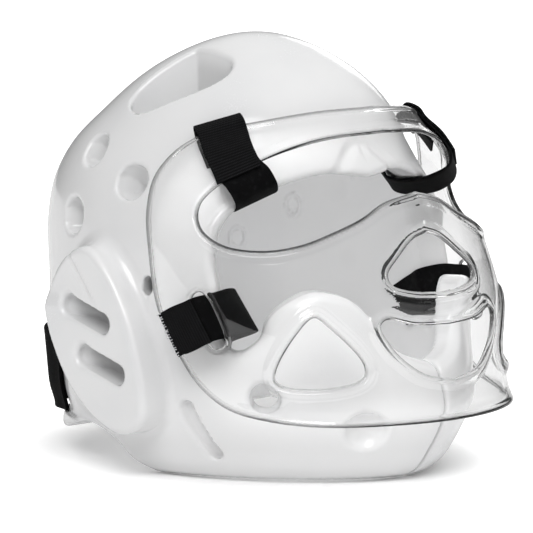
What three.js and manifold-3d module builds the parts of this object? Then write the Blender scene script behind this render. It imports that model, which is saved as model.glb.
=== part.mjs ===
// Karate headgear: a one-piece dipped foam helmet with a strapped-on clear face shield.
// Millimetres, +Z up, the face looks along -Y, and the wearer's right side is at -X.
import * as THREE from "three";
import * as BufferGeometryUtils from "three/addons/utils/BufferGeometryUtils.js";
import Module from "manifold-3d";

const wasm = await Module();
wasm.setup();

// ---------------------------------------------------------------- driving dimensions

const WALL = 21; // foam wall
const FRONT_TO_CENTRE = 30; // how far the head's upright line lies behind the middle of the whole
const ROUND = 42; // steps round a foam section
const SHIELD_THICKNESS = 3;
const WEBBING_WIDTH = 28;
const WEBBING_THICKNESS = 1.6;
const LAYER_GAP = 0.35; // between pieces that touch
const CHIN_SPLIT_WIDTH = 2.4;
const CHIN_SPLIT_DEPTH = 11;
const CENTRE_OVERLAP = 0.5; // degrees by which the halves of an opening reach over the centre line

// Level sections of the helmet's outer skin: height, half width, front and back reach, the widest
// line's y, and how square the front quarter is (2 is an ellipse).
const HELMET_SECTIONS = [
  { z: 0, half: 94, front: 138, back: 92, middle: -10, square: 1.7 },
  { z: 4, half: 100, front: 145, back: 98, middle: -10, square: 1.7 },
  { z: 20, half: 107, front: 159, back: 106, middle: -10, square: 1.72 },
  { z: 26, half: 109, front: 163, back: 101, middle: -10, square: 1.74 },
  { z: 43, half: 112, front: 172, back: 106, middle: -10, square: 1.76 },
  { z: 60, half: 112, front: 167, back: 111, middle: -10, square: 1.84 },
  { z: 78, half: 112, front: 159, back: 116, middle: -10, square: 1.98 },
  { z: 86, half: 112, front: 157, back: 123, middle: -10, square: 2.05 },
  { z: 115, half: 112, front: 148, back: 124, middle: -8, square: 2.4 },
  { z: 145, half: 111, front: 134, back: 124, middle: -4, square: 2.35 },
  { z: 173, half: 106, front: 114, back: 115, middle: 0, square: 2.1 },
  { z: 191, half: 98, front: 103, back: 103, middle: -2, square: 2.05 },
  { z: 212, half: 83, front: 97, back: 80, middle: -9, square: 2 },
  { z: 233, half: 62, front: 79, back: 56, middle: -11, square: 2 },
  { z: 247, half: 39, front: 54, back: 27, middle: -13, square: 2 },
  { z: 254, half: 21, front: 34, back: 5, middle: -15, square: 2 },
  { z: 257, half: 2, front: 17, back: -13, middle: -15, square: 2 },
];

// Level sections of the head hollow, open below.
const HOLLOW_SECTIONS = [
  { z: -20, half: 84, front: 122, back: 80, middle: -10, square: 1.85 },
  { z: 20, half: 90, front: 141, back: 90, middle: -10, square: 1.88 },
  { z: 43, half: 93, front: 151, back: 95, middle: -10, square: 1.9 },
  { z: 86, half: 93, front: 138, back: 109, middle: -10, square: 2.2 },
  { z: 115, half: 92, front: 128, back: 111, middle: -8, square: 2.4 },
  { z: 145, half: 91, front: 115, back: 111, middle: -4, square: 2.35 },
  { z: 173, half: 85, front: 93, back: 101, middle: 0, square: 2.1 },
  { z: 191, half: 77, front: 82, back: 89, middle: -2, square: 2.05 },
  { z: 212, half: 61, front: 74, back: 61, middle: -9, square: 2 },
  { z: 227, half: 39, front: 53, back: 33, middle: -12, square: 2 },
  { z: 236, half: 3, front: 18, back: -12, middle: -15, square: 2 },
];

// Level sections of the shield's outer face.
const SHIELD_SECTIONS = [
  { z: 36, half: 113, front: 186, back: 60, middle: -70, square: 2.1 },
  { z: 44, half: 112, front: 182, back: 60, middle: -70, square: 2.1 },
  { z: 54, half: 113, front: 178, back: 60, middle: -68, square: 2.1 },
  { z: 70, half: 116, front: 175, back: 60, middle: -64, square: 2.1 },
  { z: 100, half: 118.5, front: 170, back: 60, middle: -58, square: 2.15 },
  { z: 130, half: 119, front: 160, back: 60, middle: -46, square: 2.2 },
  { z: 160, half: 118, front: 149, back: 60, middle: -28, square: 2.1 },
  { z: 182, half: 117, front: 131, back: 60, middle: -6, square: 2.1 },
  { z: 193, half: 112, front: 125, back: 60, middle: 0, square: 2.1 },
  { z: 203, half: 101, front: 119, back: 60, middle: 0, square: 2.05 },
  { z: 218, half: 91, front: 111, back: 60, middle: 0, square: 2 },
];

// ---------------------------------------------------------------- solids and sections

function solidOf(geometry) {
  const merged = BufferGeometryUtils.mergeVertices(positionsOnly(geometry), 1e-3);
  const solid = new wasm.Manifold(
    new wasm.Mesh({
      numProp: 3,
      vertProperties: merged.attributes.position.array,
      triVerts: new Uint32Array(merged.index.array),
    }),
  );
  return solid;
}

function geometryOf(solid) {
  const mesh = solid.getMesh();
  const positions = new Float32Array(mesh.numVert * 3);
  for (let i = 0; i < mesh.numVert; i++) {
    const start = i * mesh.numProp;
    positions.set(mesh.vertProperties.subarray(start, start + 3), i * 3);
  }
  const geometry = new THREE.BufferGeometry();
  geometry.setAttribute("position", new THREE.BufferAttribute(positions, 3));
  geometry.setIndex(new THREE.BufferAttribute(mesh.triVerts, 1));
  geometry.computeVertexNormals();
  return geometry;
}

function sectionAt(sections, z) {
  let i = 0;
  while (i < sections.length - 2 && z > sections[i + 1].z) {
    i++;
  }
  const low = sections[i];
  const high = sections[i + 1];
  const share = (z - low.z) / (high.z - low.z);
  const row = {};
  for (const key of Object.keys(low)) {
    row[key] = low[key] + (high[key] - low[key]) * share;
  }
  return row;
}

// A point of a section, at a turn from the front, with positive turns towards +X.
function pointOnSection(row, turn, inset = 0) {
  const sine = Math.sin(turn);
  const cosine = Math.cos(turn);
  const power = 2 / (cosine > 0 ? row.square : 2);
  const half = Math.max(row.half - inset, 0.5);
  const front = row.front + row.middle - inset;
  const back = row.back - row.middle - inset;
  const reach = cosine > 0 ? -front : back;
  const x = half * Math.sign(sine) * Math.abs(sine) ** power;
  const y = row.middle + reach * Math.abs(cosine) ** power;
  return new THREE.Vector3(x, y, row.z);
}

// A closed body through level sections: a cylinder whose rings are laid on them.
function loft(sections, heights, inset = 0) {
  const rings = heights.length - 1;
  const cylinder = new THREE.CylinderGeometry(1, 1, 1, ROUND, rings);
  const position = cylinder.attributes.position;
  for (let i = 0; i < position.count; i++) {
    const ring = Math.round((position.getY(i) + 0.5) * rings);
    const row = sectionAt(sections, heights[ring]);
    const sine = position.getX(i);
    const cosine = position.getZ(i);
    if (Math.hypot(sine, cosine) < 0.5) {
      position.setXYZ(i, 0, row.middle, row.z);
      continue;
    }
    const place = pointOnSection(row, Math.atan2(sine, cosine), inset);
    position.setXYZ(i, place.x, place.y, place.z);
  }
  return solidOf(cylinder);
}

function heightsOf(sections, step) {
  const heights = [sections[0].z];
  for (let i = 1; i < sections.length; i++) {
    const low = sections[i - 1].z;
    const high = sections[i].z;
    const parts = Math.max(1, Math.round((high - low) / step));
    for (let k = 1; k <= parts; k++) {
      heights.push(low + ((high - low) * k) / parts);
    }
  }
  return heights;
}

// A closed smooth outline through a few points.
function smoothOutline(points, samples) {
  const curve = new THREE.CatmullRomCurve3(pathPoints(points), true, "centripetal");
  return new THREE.Shape(flatPoints(curve.getSpacedPoints(samples)).slice(0, -1));
}

// The right half of an outline that starts and ends on the centre line, and reaches a little over it.
function halfOutline(points, samples) {
  const curve = new THREE.CatmullRomCurve3(pathPoints(points), false, "centripetal");
  const edge = flatPoints(curve.getSpacedPoints(samples));
  const first = edge[0].clone().setX(CENTRE_OVERLAP);
  const last = edge[samples].clone().setX(CENTRE_OVERLAP);
  return new THREE.Shape([first, ...edge, last]);
}

function pathPoints(points) {
  return points.map(([x, y]) => new THREE.Vector3(x, y, 0));
}

function flatPoints(points) {
  return points.map((point) => new THREE.Vector2(point.x, point.y));
}

// A cutter whose shape is drawn in degrees from the front and height, wrapped round an upright axis.
function wrapped(shape, { axisY, inner, outer, steps = 1 }) {
  const geometry = new THREE.ExtrudeGeometry(shape, { depth: 1, bevelEnabled: false, steps });
  const position = geometry.attributes.position;
  for (let i = 0; i < position.count; i++) {
    const turn = THREE.MathUtils.degToRad(position.getX(i));
    const radius = inner + (outer - inner) * position.getZ(i);
    const x = radius * Math.sin(turn);
    const y = axisY - radius * Math.cos(turn);
    position.setXYZ(i, x, y, position.getY(i));
  }
  return geometry;
}

function mirrored(geometry) {
  const copy = BufferGeometryUtils.mergeVertices(positionsOnly(geometry), 1e-3);
  copy.applyMatrix4(new THREE.Matrix4().makeScale(-1, 1, 1));
  const index = copy.index.array;
  for (let i = 0; i < index.length; i += 3) {
    const first = index[i];
    index[i] = index[i + 1];
    index[i + 1] = first;
  }
  return copy;
}

function positionsOnly(geometry) {
  const bare = geometry.clone();
  bare.deleteAttribute("normal");
  bare.deleteAttribute("uv");
  return bare;
}

function capsuleShape(length, width) {
  const radius = width / 2;
  const straight = length / 2 - radius;
  const shape = new THREE.Shape();
  shape.absarc(straight, 0, radius, -Math.PI / 2, Math.PI / 2, false);
  shape.absarc(-straight, 0, radius, Math.PI / 2, (3 * Math.PI) / 2, false);
  return shape;
}

// Places a drawing: its x runs along one direction, and its depth comes out along the other.
function placed(geometry, origin, along, outward) {
  const w = outward.clone().normalize();
  const v = new THREE.Vector3().crossVectors(w, along).normalize();
  const u = new THREE.Vector3().crossVectors(v, w);
  return geometry.applyMatrix4(new THREE.Matrix4().makeBasis(u, v, w).setPosition(origin));
}

function outwardAt(turnDegrees, lift = 0) {
  const turn = THREE.MathUtils.degToRad(turnDegrees);
  return new THREE.Vector3(Math.sin(turn), -Math.cos(turn), lift).normalize();
}

// Signed measure of a place against a body's sections: below zero is inside.
function outside(sections, place) {
  const row = sectionAt(sections, place.z);
  const dy = place.y - row.middle;
  const power = dy < 0 ? row.square : 2;
  const reach = dy < 0 ? row.front + row.middle : row.back - row.middle;
  return (Math.abs(place.x) / row.half) ** power + (Math.abs(dy) / reach) ** power - 1;
}

// How far a ray from inside a body runs before it leaves the skin.
function skinDistance(sections, start, direction) {
  let near = 0;
  let far = 300;
  for (let i = 0; i < 40; i++) {
    const middle = (near + far) / 2;
    const place = start.clone().addScaledVector(direction, middle);
    if (outside(sections, place) < 0) {
      near = middle;
    } else {
      far = middle;
    }
  }
  return near;
}

// A flat band of one thickness along a path drawn in its own plane.
function ribbonShape(path, thickness, samples) {
  const curve = new THREE.CatmullRomCurve3(pathPoints(path), false, "centripetal");
  const left = [];
  const right = [];
  for (let i = 0; i <= samples; i++) {
    const place = curve.getPointAt(i / samples);
    const tangent = curve.getTangentAt(i / samples);
    const across = new THREE.Vector2(-tangent.y, tangent.x).multiplyScalar(thickness / 2);
    left.push(new THREE.Vector2(place.x, place.y).add(across));
    right.push(new THREE.Vector2(place.x, place.y).sub(across));
  }
  return new THREE.Shape(left.concat(right.reverse()));
}

// ---------------------------------------------------------------- foam helmet

// The face opening, in degrees from the front and height: brow, temple, cheek hump and chin.
const FACE_OPENING = [
  [0, 174],
  [-17, 177],
  [-34, 170],
  [-44, 161],
  [-50, 147],
  [-51, 130],
  [-49.5, 110],
  [-49, 84],
  [-44.5, 78],
  [-39.5, 85],
  [-37.5, 97],
  [-33, 107],
  [-27, 113],
  [-20, 110],
  [-13, 95],
  [-8, 78],
  [0, 70],
];
const FACE_WRAP = { axisY: 0, inner: 60, outer: 260, steps: 1 };

// Round vents of the right side: degrees from the front, height, diameter and how far they look up.
const ROUND_VENTS = [
  { turn: -103.6, z: 188.4, diameter: 21, lift: 0.5 },
  { turn: -80.5, z: 172.7, diameter: 22, lift: 0.4 },
  { turn: -107.2, z: 149.5, diameter: 22, lift: 0.1 },
  { turn: -71.5, z: 114, diameter: 11, lift: 0 },
  { turn: -38, z: 51, diameter: 18, lift: -0.1 },
];
const VENT_SIDES = 14;

// The crown vent of the right side, in plan: a rounded triangle.
const CROWN_VENT = [
  [-38, -8],
  [-40, -25],
  [-46, -41],
  [-54, -41],
  [-64, -36],
  [-74, -23],
  [-81, -5],
  [-79, 8],
  [-71, 15],
  [-59, 13],
  [-46, 5],
];
const CROWN_VENT_FLOOR = 150;

// The helmet's lower edge from the side: it stands on the jaw and lifts under the ears.
const LOWER_EDGE = [
  [-26, 0],
  [-15, 7],
  [-2, 20],
  [24, 26],
  [52, 20],
  [72, 15],
  [130, 14],
];

// The ear cup's outline from the side: how far forward of the head's upright line, and height.
const EAR_CUP_OUTLINE = [
  [-36, 99],
  [-26.5, 70],
  [-16, 54],
  [-2.5, 41],
  [12, 32],
  [28, 27],
  [41, 30],
  [49, 37],
  [51, 48],
  [46, 72],
  [36.5, 97],
  [20, 121.5],
  [2, 134.5],
  [-12.5, 131],
  [-27, 118],
];
const EAR_CUP = { face: 128, root: 84, round: 5 };
const EAR_SLOTS = [
  { y: -1.5, z: 95 },
  { y: -14.2, z: 66.5 },
];
const EAR_SLOT = { length: 43, width: 12.6, fall: 20.5, depth: 12.5 };
const JAW_SLOT = { y: -67, z: 31, length: 35, width: 8, depth: 6.5, turn: -56 };
const JAW_BOWL = { turn: -17, z: 27, radius: 12 };
const NAPE_SLIT = { width: 40, top: 72 };
const NAPE_BAND = { low: 27, high: 77, thickness: 2.5, gap: 0.8, endY: 62 };

function foamHelmet() {
  const outer = loft(HELMET_SECTIONS, heightsOf(HELMET_SECTIONS, 15));
  const hollow = loft(HOLLOW_SECTIONS, heightsOf(HOLLOW_SECTIONS, 24));
  let solid = outer;
  for (const geometry of twice(earCup())) {
    solid = solid.add(solidOf(geometry));
  }
  solid = solid.subtract(hollow);
  for (const cutter of foamCutters()) {
    solid = solid.subtract(solidOf(cutter));
  }
  return solid;
}

function twice(geometry) {
  return [geometry, mirrored(geometry)];
}

function earCup() {
  const { face, root, round } = EAR_CUP;
  const options = { depth: face - root - round, bevelThickness: round, bevelSize: round, bevelOffset: -round };
  const shape = smoothOutline(EAR_CUP_OUTLINE, 48);
  const geometry = new THREE.ExtrudeGeometry(shape, { ...options, bevelSegments: 1 });
  return placed(geometry, new THREE.Vector3(-root, 0, 0), new THREE.Vector3(0, -1, 0), new THREE.Vector3(-1, 0, 0));
}

function foamCutters() {
  const cutters = twice(wrapped(halfOutline(FACE_OPENING, 30), FACE_WRAP));
  for (const vent of ROUND_VENTS) {
    cutters.push(...twice(roundVent(vent)));
  }
  cutters.push(...twice(crownVent()));
  for (const slot of EAR_SLOTS) {
    cutters.push(...twice(earSlot(slot)));
  }
  cutters.push(...twice(jawSlot()));
  cutters.push(...twice(jawBowl()));
  cutters.push(lowerEdgeCutter());
  cutters.push(napeSlit());
  cutters.push(chinSplit());
  return cutters;
}

function roundVent({ turn, z, diameter, lift }) {
  const outward = outwardAt(turn, lift);
  const start = new THREE.Vector3(0, 0, z);
  const level = outwardAt(turn);
  const reach = skinDistance(HELMET_SECTIONS, start, level);
  const geometry = new THREE.CylinderGeometry(diameter / 2, diameter / 2, 3.2 * WALL, VENT_SIDES);
  geometry.rotateX(Math.PI / 2);
  const centre = start.addScaledVector(level, reach).addScaledVector(outward, -0.2 * WALL);
  return placed(geometry, centre, new THREE.Vector3(0, 0, 1), outward);
}

function crownVent() {
  const shape = smoothOutline(CROWN_VENT, 28);
  const geometry = new THREE.ExtrudeGeometry(shape, { depth: 120, bevelEnabled: false });
  return geometry.translate(0, 0, CROWN_VENT_FLOOR);
}

function earSlot({ y, z }) {
  const options = { depth: EAR_SLOT.depth + 5, bevelEnabled: false, curveSegments: 6 };
  const geometry = new THREE.ExtrudeGeometry(capsuleShape(EAR_SLOT.length, EAR_SLOT.width), options);
  const fall = THREE.MathUtils.degToRad(EAR_SLOT.fall);
  const along = new THREE.Vector3(0, -Math.cos(fall), -Math.sin(fall));
  const origin = new THREE.Vector3(EAR_SLOT.depth - EAR_CUP.face, y, z);
  return placed(geometry, origin, along, new THREE.Vector3(-1, 0, 0));
}

function jawSlot() {
  const { y, z, length, width, depth, turn } = JAW_SLOT;
  const options = { depth: depth + 30, bevelEnabled: false, curveSegments: 5 };
  const geometry = new THREE.ExtrudeGeometry(capsuleShape(length, width), options);
  const outward = outwardAt(turn);
  const centre = new THREE.Vector3(0, y, z);
  const level = new THREE.Vector3(-1, 0, 0);
  const reach = skinDistance(HELMET_SECTIONS, centre, level);
  centre.addScaledVector(level, reach).addScaledVector(outward, -depth);
  const along = new THREE.Vector3(0.38, -0.33, -0.86).normalize();
  return placed(geometry, centre, along, outward);
}

function jawBowl() {
  const { turn, z, radius } = JAW_BOWL;
  const start = new THREE.Vector3(0, 0, z);
  const level = outwardAt(turn);
  const reach = skinDistance(HELMET_SECTIONS, start, level);
  const geometry = new THREE.SphereGeometry(radius, 16, 10);
  const centre = start.addScaledVector(level, reach - 0.2 * radius);
  return geometry.translate(centre.x, centre.y, centre.z);
}

function lowerEdgeCutter() {
  const curve = new THREE.CatmullRomCurve3(pathPoints(LOWER_EDGE), false, "centripetal");
  const edge = flatPoints(curve.getSpacedPoints(22));
  const rear = new THREE.Vector2(LOWER_EDGE.at(-1)[0], -30);
  const front = new THREE.Vector2(LOWER_EDGE[0][0], -30);
  const shape = new THREE.Shape([...edge, rear, front].reverse());
  const geometry = new THREE.ExtrudeGeometry(shape, { depth: 300, bevelEnabled: false });
  const across = new THREE.Vector3(1, 0, 0);
  return placed(geometry, new THREE.Vector3(-150, 0, 0), new THREE.Vector3(0, 1, 0), across);
}

function napeSlit() {
  const half = NAPE_SLIT.width / 2;
  const shape = new THREE.Shape();
  shape.moveTo(-half, -40);
  shape.lineTo(half, -40);
  shape.lineTo(half, NAPE_SLIT.top - half);
  shape.absarc(0, NAPE_SLIT.top - half, half, 0, Math.PI, false);
  const geometry = new THREE.ExtrudeGeometry(shape, { depth: 100, bevelEnabled: false, curveSegments: 10 });
  return placed(geometry, new THREE.Vector3(0, 60, 0), new THREE.Vector3(-1, 0, 0), new THREE.Vector3(0, 1, 0));
}

// The cut between the chin's halves, which follows the leaning front line.
function chinSplit() {
  const shape = new THREE.Shape();
  const rows = [-4, 0, 20, 45, 62, 90];
  for (const z of rows) {
    const row = sectionAt(HELMET_SECTIONS, z);
    shape[z === rows[0] ? "moveTo" : "lineTo"](-row.front + CHIN_SPLIT_DEPTH, z);
  }
  shape.lineTo(-220, 90);
  shape.lineTo(-220, -4);
  const geometry = new THREE.ExtrudeGeometry(shape, { depth: CHIN_SPLIT_WIDTH, bevelEnabled: false });
  const origin = new THREE.Vector3(-CHIN_SPLIT_WIDTH / 2, 0, 0);
  return placed(geometry, origin, new THREE.Vector3(0, 1, 0), new THREE.Vector3(1, 0, 0));
}

// ---------------------------------------------------------------- face shield

// The upright line that its openings are drawn round, and how far in and out the cutters reach.
const SHIELD_WRAP = { axisY: -45, inner: 55, outer: 220, steps: 2 };

// The shield's outline from the brow's top edge, down its rear edge and along its lip.
const SHIELD_OUTLINE = [
  [0, 216],
  [-34, 214],
  [-61, 208.5],
  [-80, 202],
  [-88, 186],
  [-91, 160],
  [-89.5, 135],
  [-86, 102],
  [-78, 75],
  [-71, 58],
  [-62, 47],
  [-50, 42],
  [-38, 40],
  [-20, 40],
  [0, 40],
];
const EYE_OPENING = [
  [0, 201],
  [-27, 199],
  [-42, 195],
  [-55, 188],
  [-67, 176],
  [-73.5, 163],
  [-72, 149],
  [-64, 140],
  [-53, 138],
  [-43, 141],
  [-33, 147.5],
  [-23, 154.5],
  [-13, 163],
  [0, 168],
];
const UPPER_VENT = [
  [0, 149],
  [-6, 143],
  [-13, 133],
  [-18, 124],
  [-16.5, 117],
  [-10, 113],
  [0, 111.5],
];
const LOWER_VENT = [
  [0, 93.5],
  [-12, 95],
  [-20, 99],
  [-22, 96],
  [-19.5, 84],
  [-15, 74],
  [-9, 66],
  [0, 62],
];
const CHEEK_VENT = [
  [-39.7, 101.5],
  [-36, 96],
  [-27, 74],
  [-28, 66],
  [-35, 62],
  [-46, 62],
  [-49.5, 66],
  [-44, 93],
];

// How the straps lie on the right side: degrees of their outward face and their lean.
const BROW_STRAP = { turn: -54, topAcross: -32, topZ: 207, lean: 27, roll: 18 };
const CHEEK_STRAP = { turn: -78, rise: 24, slotAt: 64, heightAtSlot: 100 };
const STRAP_SLOT = { length: 31, width: 8 };

function faceShield() {
  const heights = heightsOf(SHIELD_SECTIONS, 15);
  let solid = loft(SHIELD_SECTIONS, heights).subtract(loft(SHIELD_SECTIONS, heights, SHIELD_THICKNESS));
  const outline = twice(wrapped(halfOutline(SHIELD_OUTLINE, 40), SHIELD_WRAP)).map(solidOf);
  solid = solid.intersect(outline[0].add(outline[1]));
  const cutters = [
    ...twice(wrapped(halfOutline(EYE_OPENING, 34), SHIELD_WRAP)),
    ...twice(wrapped(halfOutline(UPPER_VENT, 14), SHIELD_WRAP)),
    ...twice(wrapped(halfOutline(LOWER_VENT, 16), SHIELD_WRAP)),
    ...twice(wrapped(smoothOutline(CHEEK_VENT, 24), SHIELD_WRAP)),
    ...twice(strapSlot()),
  ];
  for (const cutter of cutters) {
    solid = solid.subtract(solidOf(cutter));
  }
  return solid;
}

function strapSlot() {
  const frame = cheekFrame();
  const options = { depth: 40, bevelEnabled: false, curveSegments: 5 };
  const geometry = new THREE.ExtrudeGeometry(capsuleShape(STRAP_SLOT.length, STRAP_SLOT.width), options);
  const start = frame.base(CHEEK_STRAP.slotAt);
  const reach = skinDistance(SHIELD_SECTIONS, start, frame.outward);
  const origin = start.addScaledVector(frame.outward, reach - 12);
  return placed(geometry, origin, frame.across, frame.outward);
}

// The cheek strap's own frame: forward distance along it, and outward from the head.
function cheekFrame() {
  const { turn, rise, slotAt, heightAtSlot } = CHEEK_STRAP;
  const outward = outwardAt(turn);
  const forward = outwardAt(turn + 90);
  const slope = Math.tan(THREE.MathUtils.degToRad(rise));
  const along = forward.clone().add(new THREE.Vector3(0, 0, slope)).normalize();
  const across = new THREE.Vector3().crossVectors(along, outward).normalize();
  const base = (distance) => {
    const place = forward.clone().multiplyScalar(distance);
    place.z = heightAtSlot + (distance - slotAt) * slope;
    return place;
  };
  return { outward, along, across, base };
}

// ---------------------------------------------------------------- webbing

// A strap's own frame on the right side: up or forward along the strap, and outward from the head.
function browFrame() {
  const { turn, topAcross, topZ, lean, roll } = BROW_STRAP;
  const level = outwardAt(turn + 90);
  const slope = Math.tan(THREE.MathUtils.degToRad(lean));
  const along = level.clone().multiplyScalar(-slope).add(new THREE.Vector3(0, 0, 1)).normalize();
  const outward = outwardAt(turn).applyAxisAngle(along, THREE.MathUtils.degToRad(roll));
  const base = (z) => {
    const place = level.clone().multiplyScalar(topAcross + (topZ - z) * slope);
    place.z = z;
    return place;
  };
  return { outward, along, base };
}

// A webbing band laid through places given along the strap and off a skin, which its whole width clears.
function webbing(frame, stations, samples) {
  const origin = frame.base(0);
  const across = new THREE.Vector3().crossVectors(frame.along, frame.outward).normalize();
  const path = stations.map(({ at, skin, off }) => {
    const start = frame.base(at);
    const reaches = [-0.5, 0, 0.5].map((part) => {
      const edge = start.clone().addScaledVector(across, part * WEBBING_WIDTH);
      return skinDistance(skin, edge, frame.outward);
    });
    const reach = off > 0 ? Math.max(...reaches) : Math.min(...reaches);
    return [start.clone().sub(origin).dot(frame.along), reach + off];
  });
  const shape = ribbonShape(path, WEBBING_THICKNESS, samples);
  const geometry = new THREE.ExtrudeGeometry(shape, { depth: WEBBING_WIDTH, bevelEnabled: false });
  const corner = origin.clone().addScaledVector(across, -WEBBING_WIDTH / 2);
  return placed(geometry, corner, frame.along, across);
}

// From inside the brow, under its edge, up over the shield's band and down behind it.
function browStrap() {
  const over = WEBBING_THICKNESS / 2 + LAYER_GAP;
  const inside = -(WEBBING_THICKNESS / 2 + 1.6);
  const behind = -(SHIELD_THICKNESS + over + 0.6);
  return webbing(browFrame(), [
    { at: 178, skin: HOLLOW_SECTIONS, off: inside },
    { at: 166, skin: HOLLOW_SECTIONS, off: inside },
    { at: 156, skin: HOLLOW_SECTIONS, off: inside },
    { at: 150, skin: HOLLOW_SECTIONS, off: inside },
    { at: 146, skin: HOLLOW_SECTIONS, off: 3 },
    { at: 145, skin: HELMET_SECTIONS, off: -5 },
    { at: 146.5, skin: HELMET_SECTIONS, off: 3 },
    { at: 152, skin: SHIELD_SECTIONS, off: -3 },
    { at: 160, skin: SHIELD_SECTIONS, off: over },
    { at: 168, skin: SHIELD_SECTIONS, off: over + 0.4 },
    { at: 177, skin: SHIELD_SECTIONS, off: over + 0.7 },
    { at: 186, skin: SHIELD_SECTIONS, off: over + 0.8 },
    { at: 191.5, skin: SHIELD_SECTIONS, off: over + 0.3 },
    { at: 194.5, skin: SHIELD_SECTIONS, off: -SHIELD_THICKNESS / 2 },
    { at: 191.5, skin: SHIELD_SECTIONS, off: behind },
    { at: 183, skin: SHIELD_SECTIONS, off: behind },
    { at: 172, skin: SHIELD_SECTIONS, off: behind },
  ], 44);
}

// The woven end laid over the strap, from behind the band's top edge to a little above the brow.
function browTab() {
  const layer = WEBBING_THICKNESS + LAYER_GAP;
  const over = 1.5 * WEBBING_THICKNESS + 2 * LAYER_GAP;
  const behind = -(SHIELD_THICKNESS + over + 1.1);
  return webbing(browFrame(), [
    { at: 183, skin: SHIELD_SECTIONS, off: behind },
    { at: 191.5, skin: SHIELD_SECTIONS, off: behind },
    { at: 194.8 + layer, skin: SHIELD_SECTIONS, off: -SHIELD_THICKNESS / 2 },
    { at: 192 + layer / 2, skin: SHIELD_SECTIONS, off: over + 1 },
    { at: 186, skin: SHIELD_SECTIONS, off: over + 1.2 },
    { at: 177, skin: SHIELD_SECTIONS, off: over + 1.2 },
    { at: 168, skin: SHIELD_SECTIONS, off: over + 1.1 },
    { at: 164, skin: SHIELD_SECTIONS, off: over + 1.1 },
  ], 30);
}

// From inside the cheek, round its front edge, out through the shield's slot and back over the shield.
function cheekStrap() {
  const over = WEBBING_THICKNESS / 2 + LAYER_GAP;
  const inside = -(WEBBING_THICKNESS / 2 + 1.4);
  const { slotAt } = CHEEK_STRAP;
  return webbing(cheekFrame(), [
    { at: slotAt - 30, skin: HOLLOW_SECTIONS, off: inside },
    { at: slotAt - 12, skin: HOLLOW_SECTIONS, off: inside },
    { at: slotAt + 1, skin: HOLLOW_SECTIONS, off: inside },
    { at: slotAt + 5.6, skin: HELMET_SECTIONS, off: -9 },
    { at: slotAt + 4, skin: SHIELD_SECTIONS, off: -11 },
    { at: slotAt + 0.3, skin: SHIELD_SECTIONS, off: -1.5 },
    { at: slotAt - 3, skin: SHIELD_SECTIONS, off: over + 0.9 },
    { at: slotAt - 14, skin: SHIELD_SECTIONS, off: over + 0.2 },
    { at: slotAt - 27, skin: SHIELD_SECTIONS, off: over + 0.2 },
  ], 40);
}

// The woven end laid over the cheek strap.
function cheekTab() {
  const over = 1.5 * WEBBING_THICKNESS + 2 * LAYER_GAP;
  const { slotAt } = CHEEK_STRAP;
  return webbing(cheekFrame(), [
    { at: slotAt - 1.5, skin: SHIELD_SECTIONS, off: over + 1.6 },
    { at: slotAt - 14, skin: SHIELD_SECTIONS, off: over + 1 },
    { at: slotAt - 31, skin: SHIELD_SECTIONS, off: over + 0.6 },
  ], 8);
}

// The band that closes the nape, lying in the step of the foam behind the ear cups.
function napeBand() {
  const { low, high, thickness, gap, endY } = NAPE_BAND;
  const heights = [low, 43, 60, high];
  const outer = loft(HELMET_SECTIONS, heights, -(gap + thickness));
  const inner = loft(HELMET_SECTIONS, heights, -gap);
  const keep = new THREE.BoxGeometry(400, 200, 200).translate(0, endY + 100, (low + high) / 2);
  return outer.subtract(inner).intersect(solidOf(keep));
}

// ---------------------------------------------------------------- assembly

const foamMaterial = new THREE.MeshStandardMaterial({ color: 0xf1f1f0, roughness: 0.25, metalness: 0 });
const clearMaterial = new THREE.MeshStandardMaterial({
  color: 0xf4f7f8,
  roughness: 0.05,
  metalness: 0,
  transparent: true,
  opacity: 0.3,
});

const webbingMaterial = new THREE.MeshStandardMaterial({ color: 0x0d0d0e, roughness: 0.8, metalness: 0 });

// The sections are drawn about the head's own upright line; the whole is centred front to back.
const group = new THREE.Group();
group.position.y = FRONT_TO_CENTRE;

function addPiece(name, solid, material) {
  const mesh = new THREE.Mesh(geometryOf(solid), material);
  mesh.name = name;
  group.add(mesh);
}

addPiece("foam_helmet", foamHelmet(), foamMaterial);
addPiece("face_shield", faceShield(), clearMaterial);
addPiece("nape_band", napeBand(), webbingMaterial);
for (const [name, geometry] of Object.entries({
  brow_strap: browStrap(),
  brow_tab: browTab(),
  cheek_strap: cheekStrap(),
  cheek_tab: cheekTab(),
})) {
  const [right, left] = twice(geometry);
  addPiece(`${name}_right`, solidOf(right), webbingMaterial);
  addPiece(`${name}_left`, solidOf(left), webbingMaterial);
}

export default group;
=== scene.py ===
"""Karate headgear: a dipped foam helmet, a clear face shield and the webbing that joins them."""

from __future__ import annotations

import logging
import math
import random
from dataclasses import dataclass, field
from enum import Enum
from typing import Callable, NamedTuple, Sequence, Union

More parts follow.
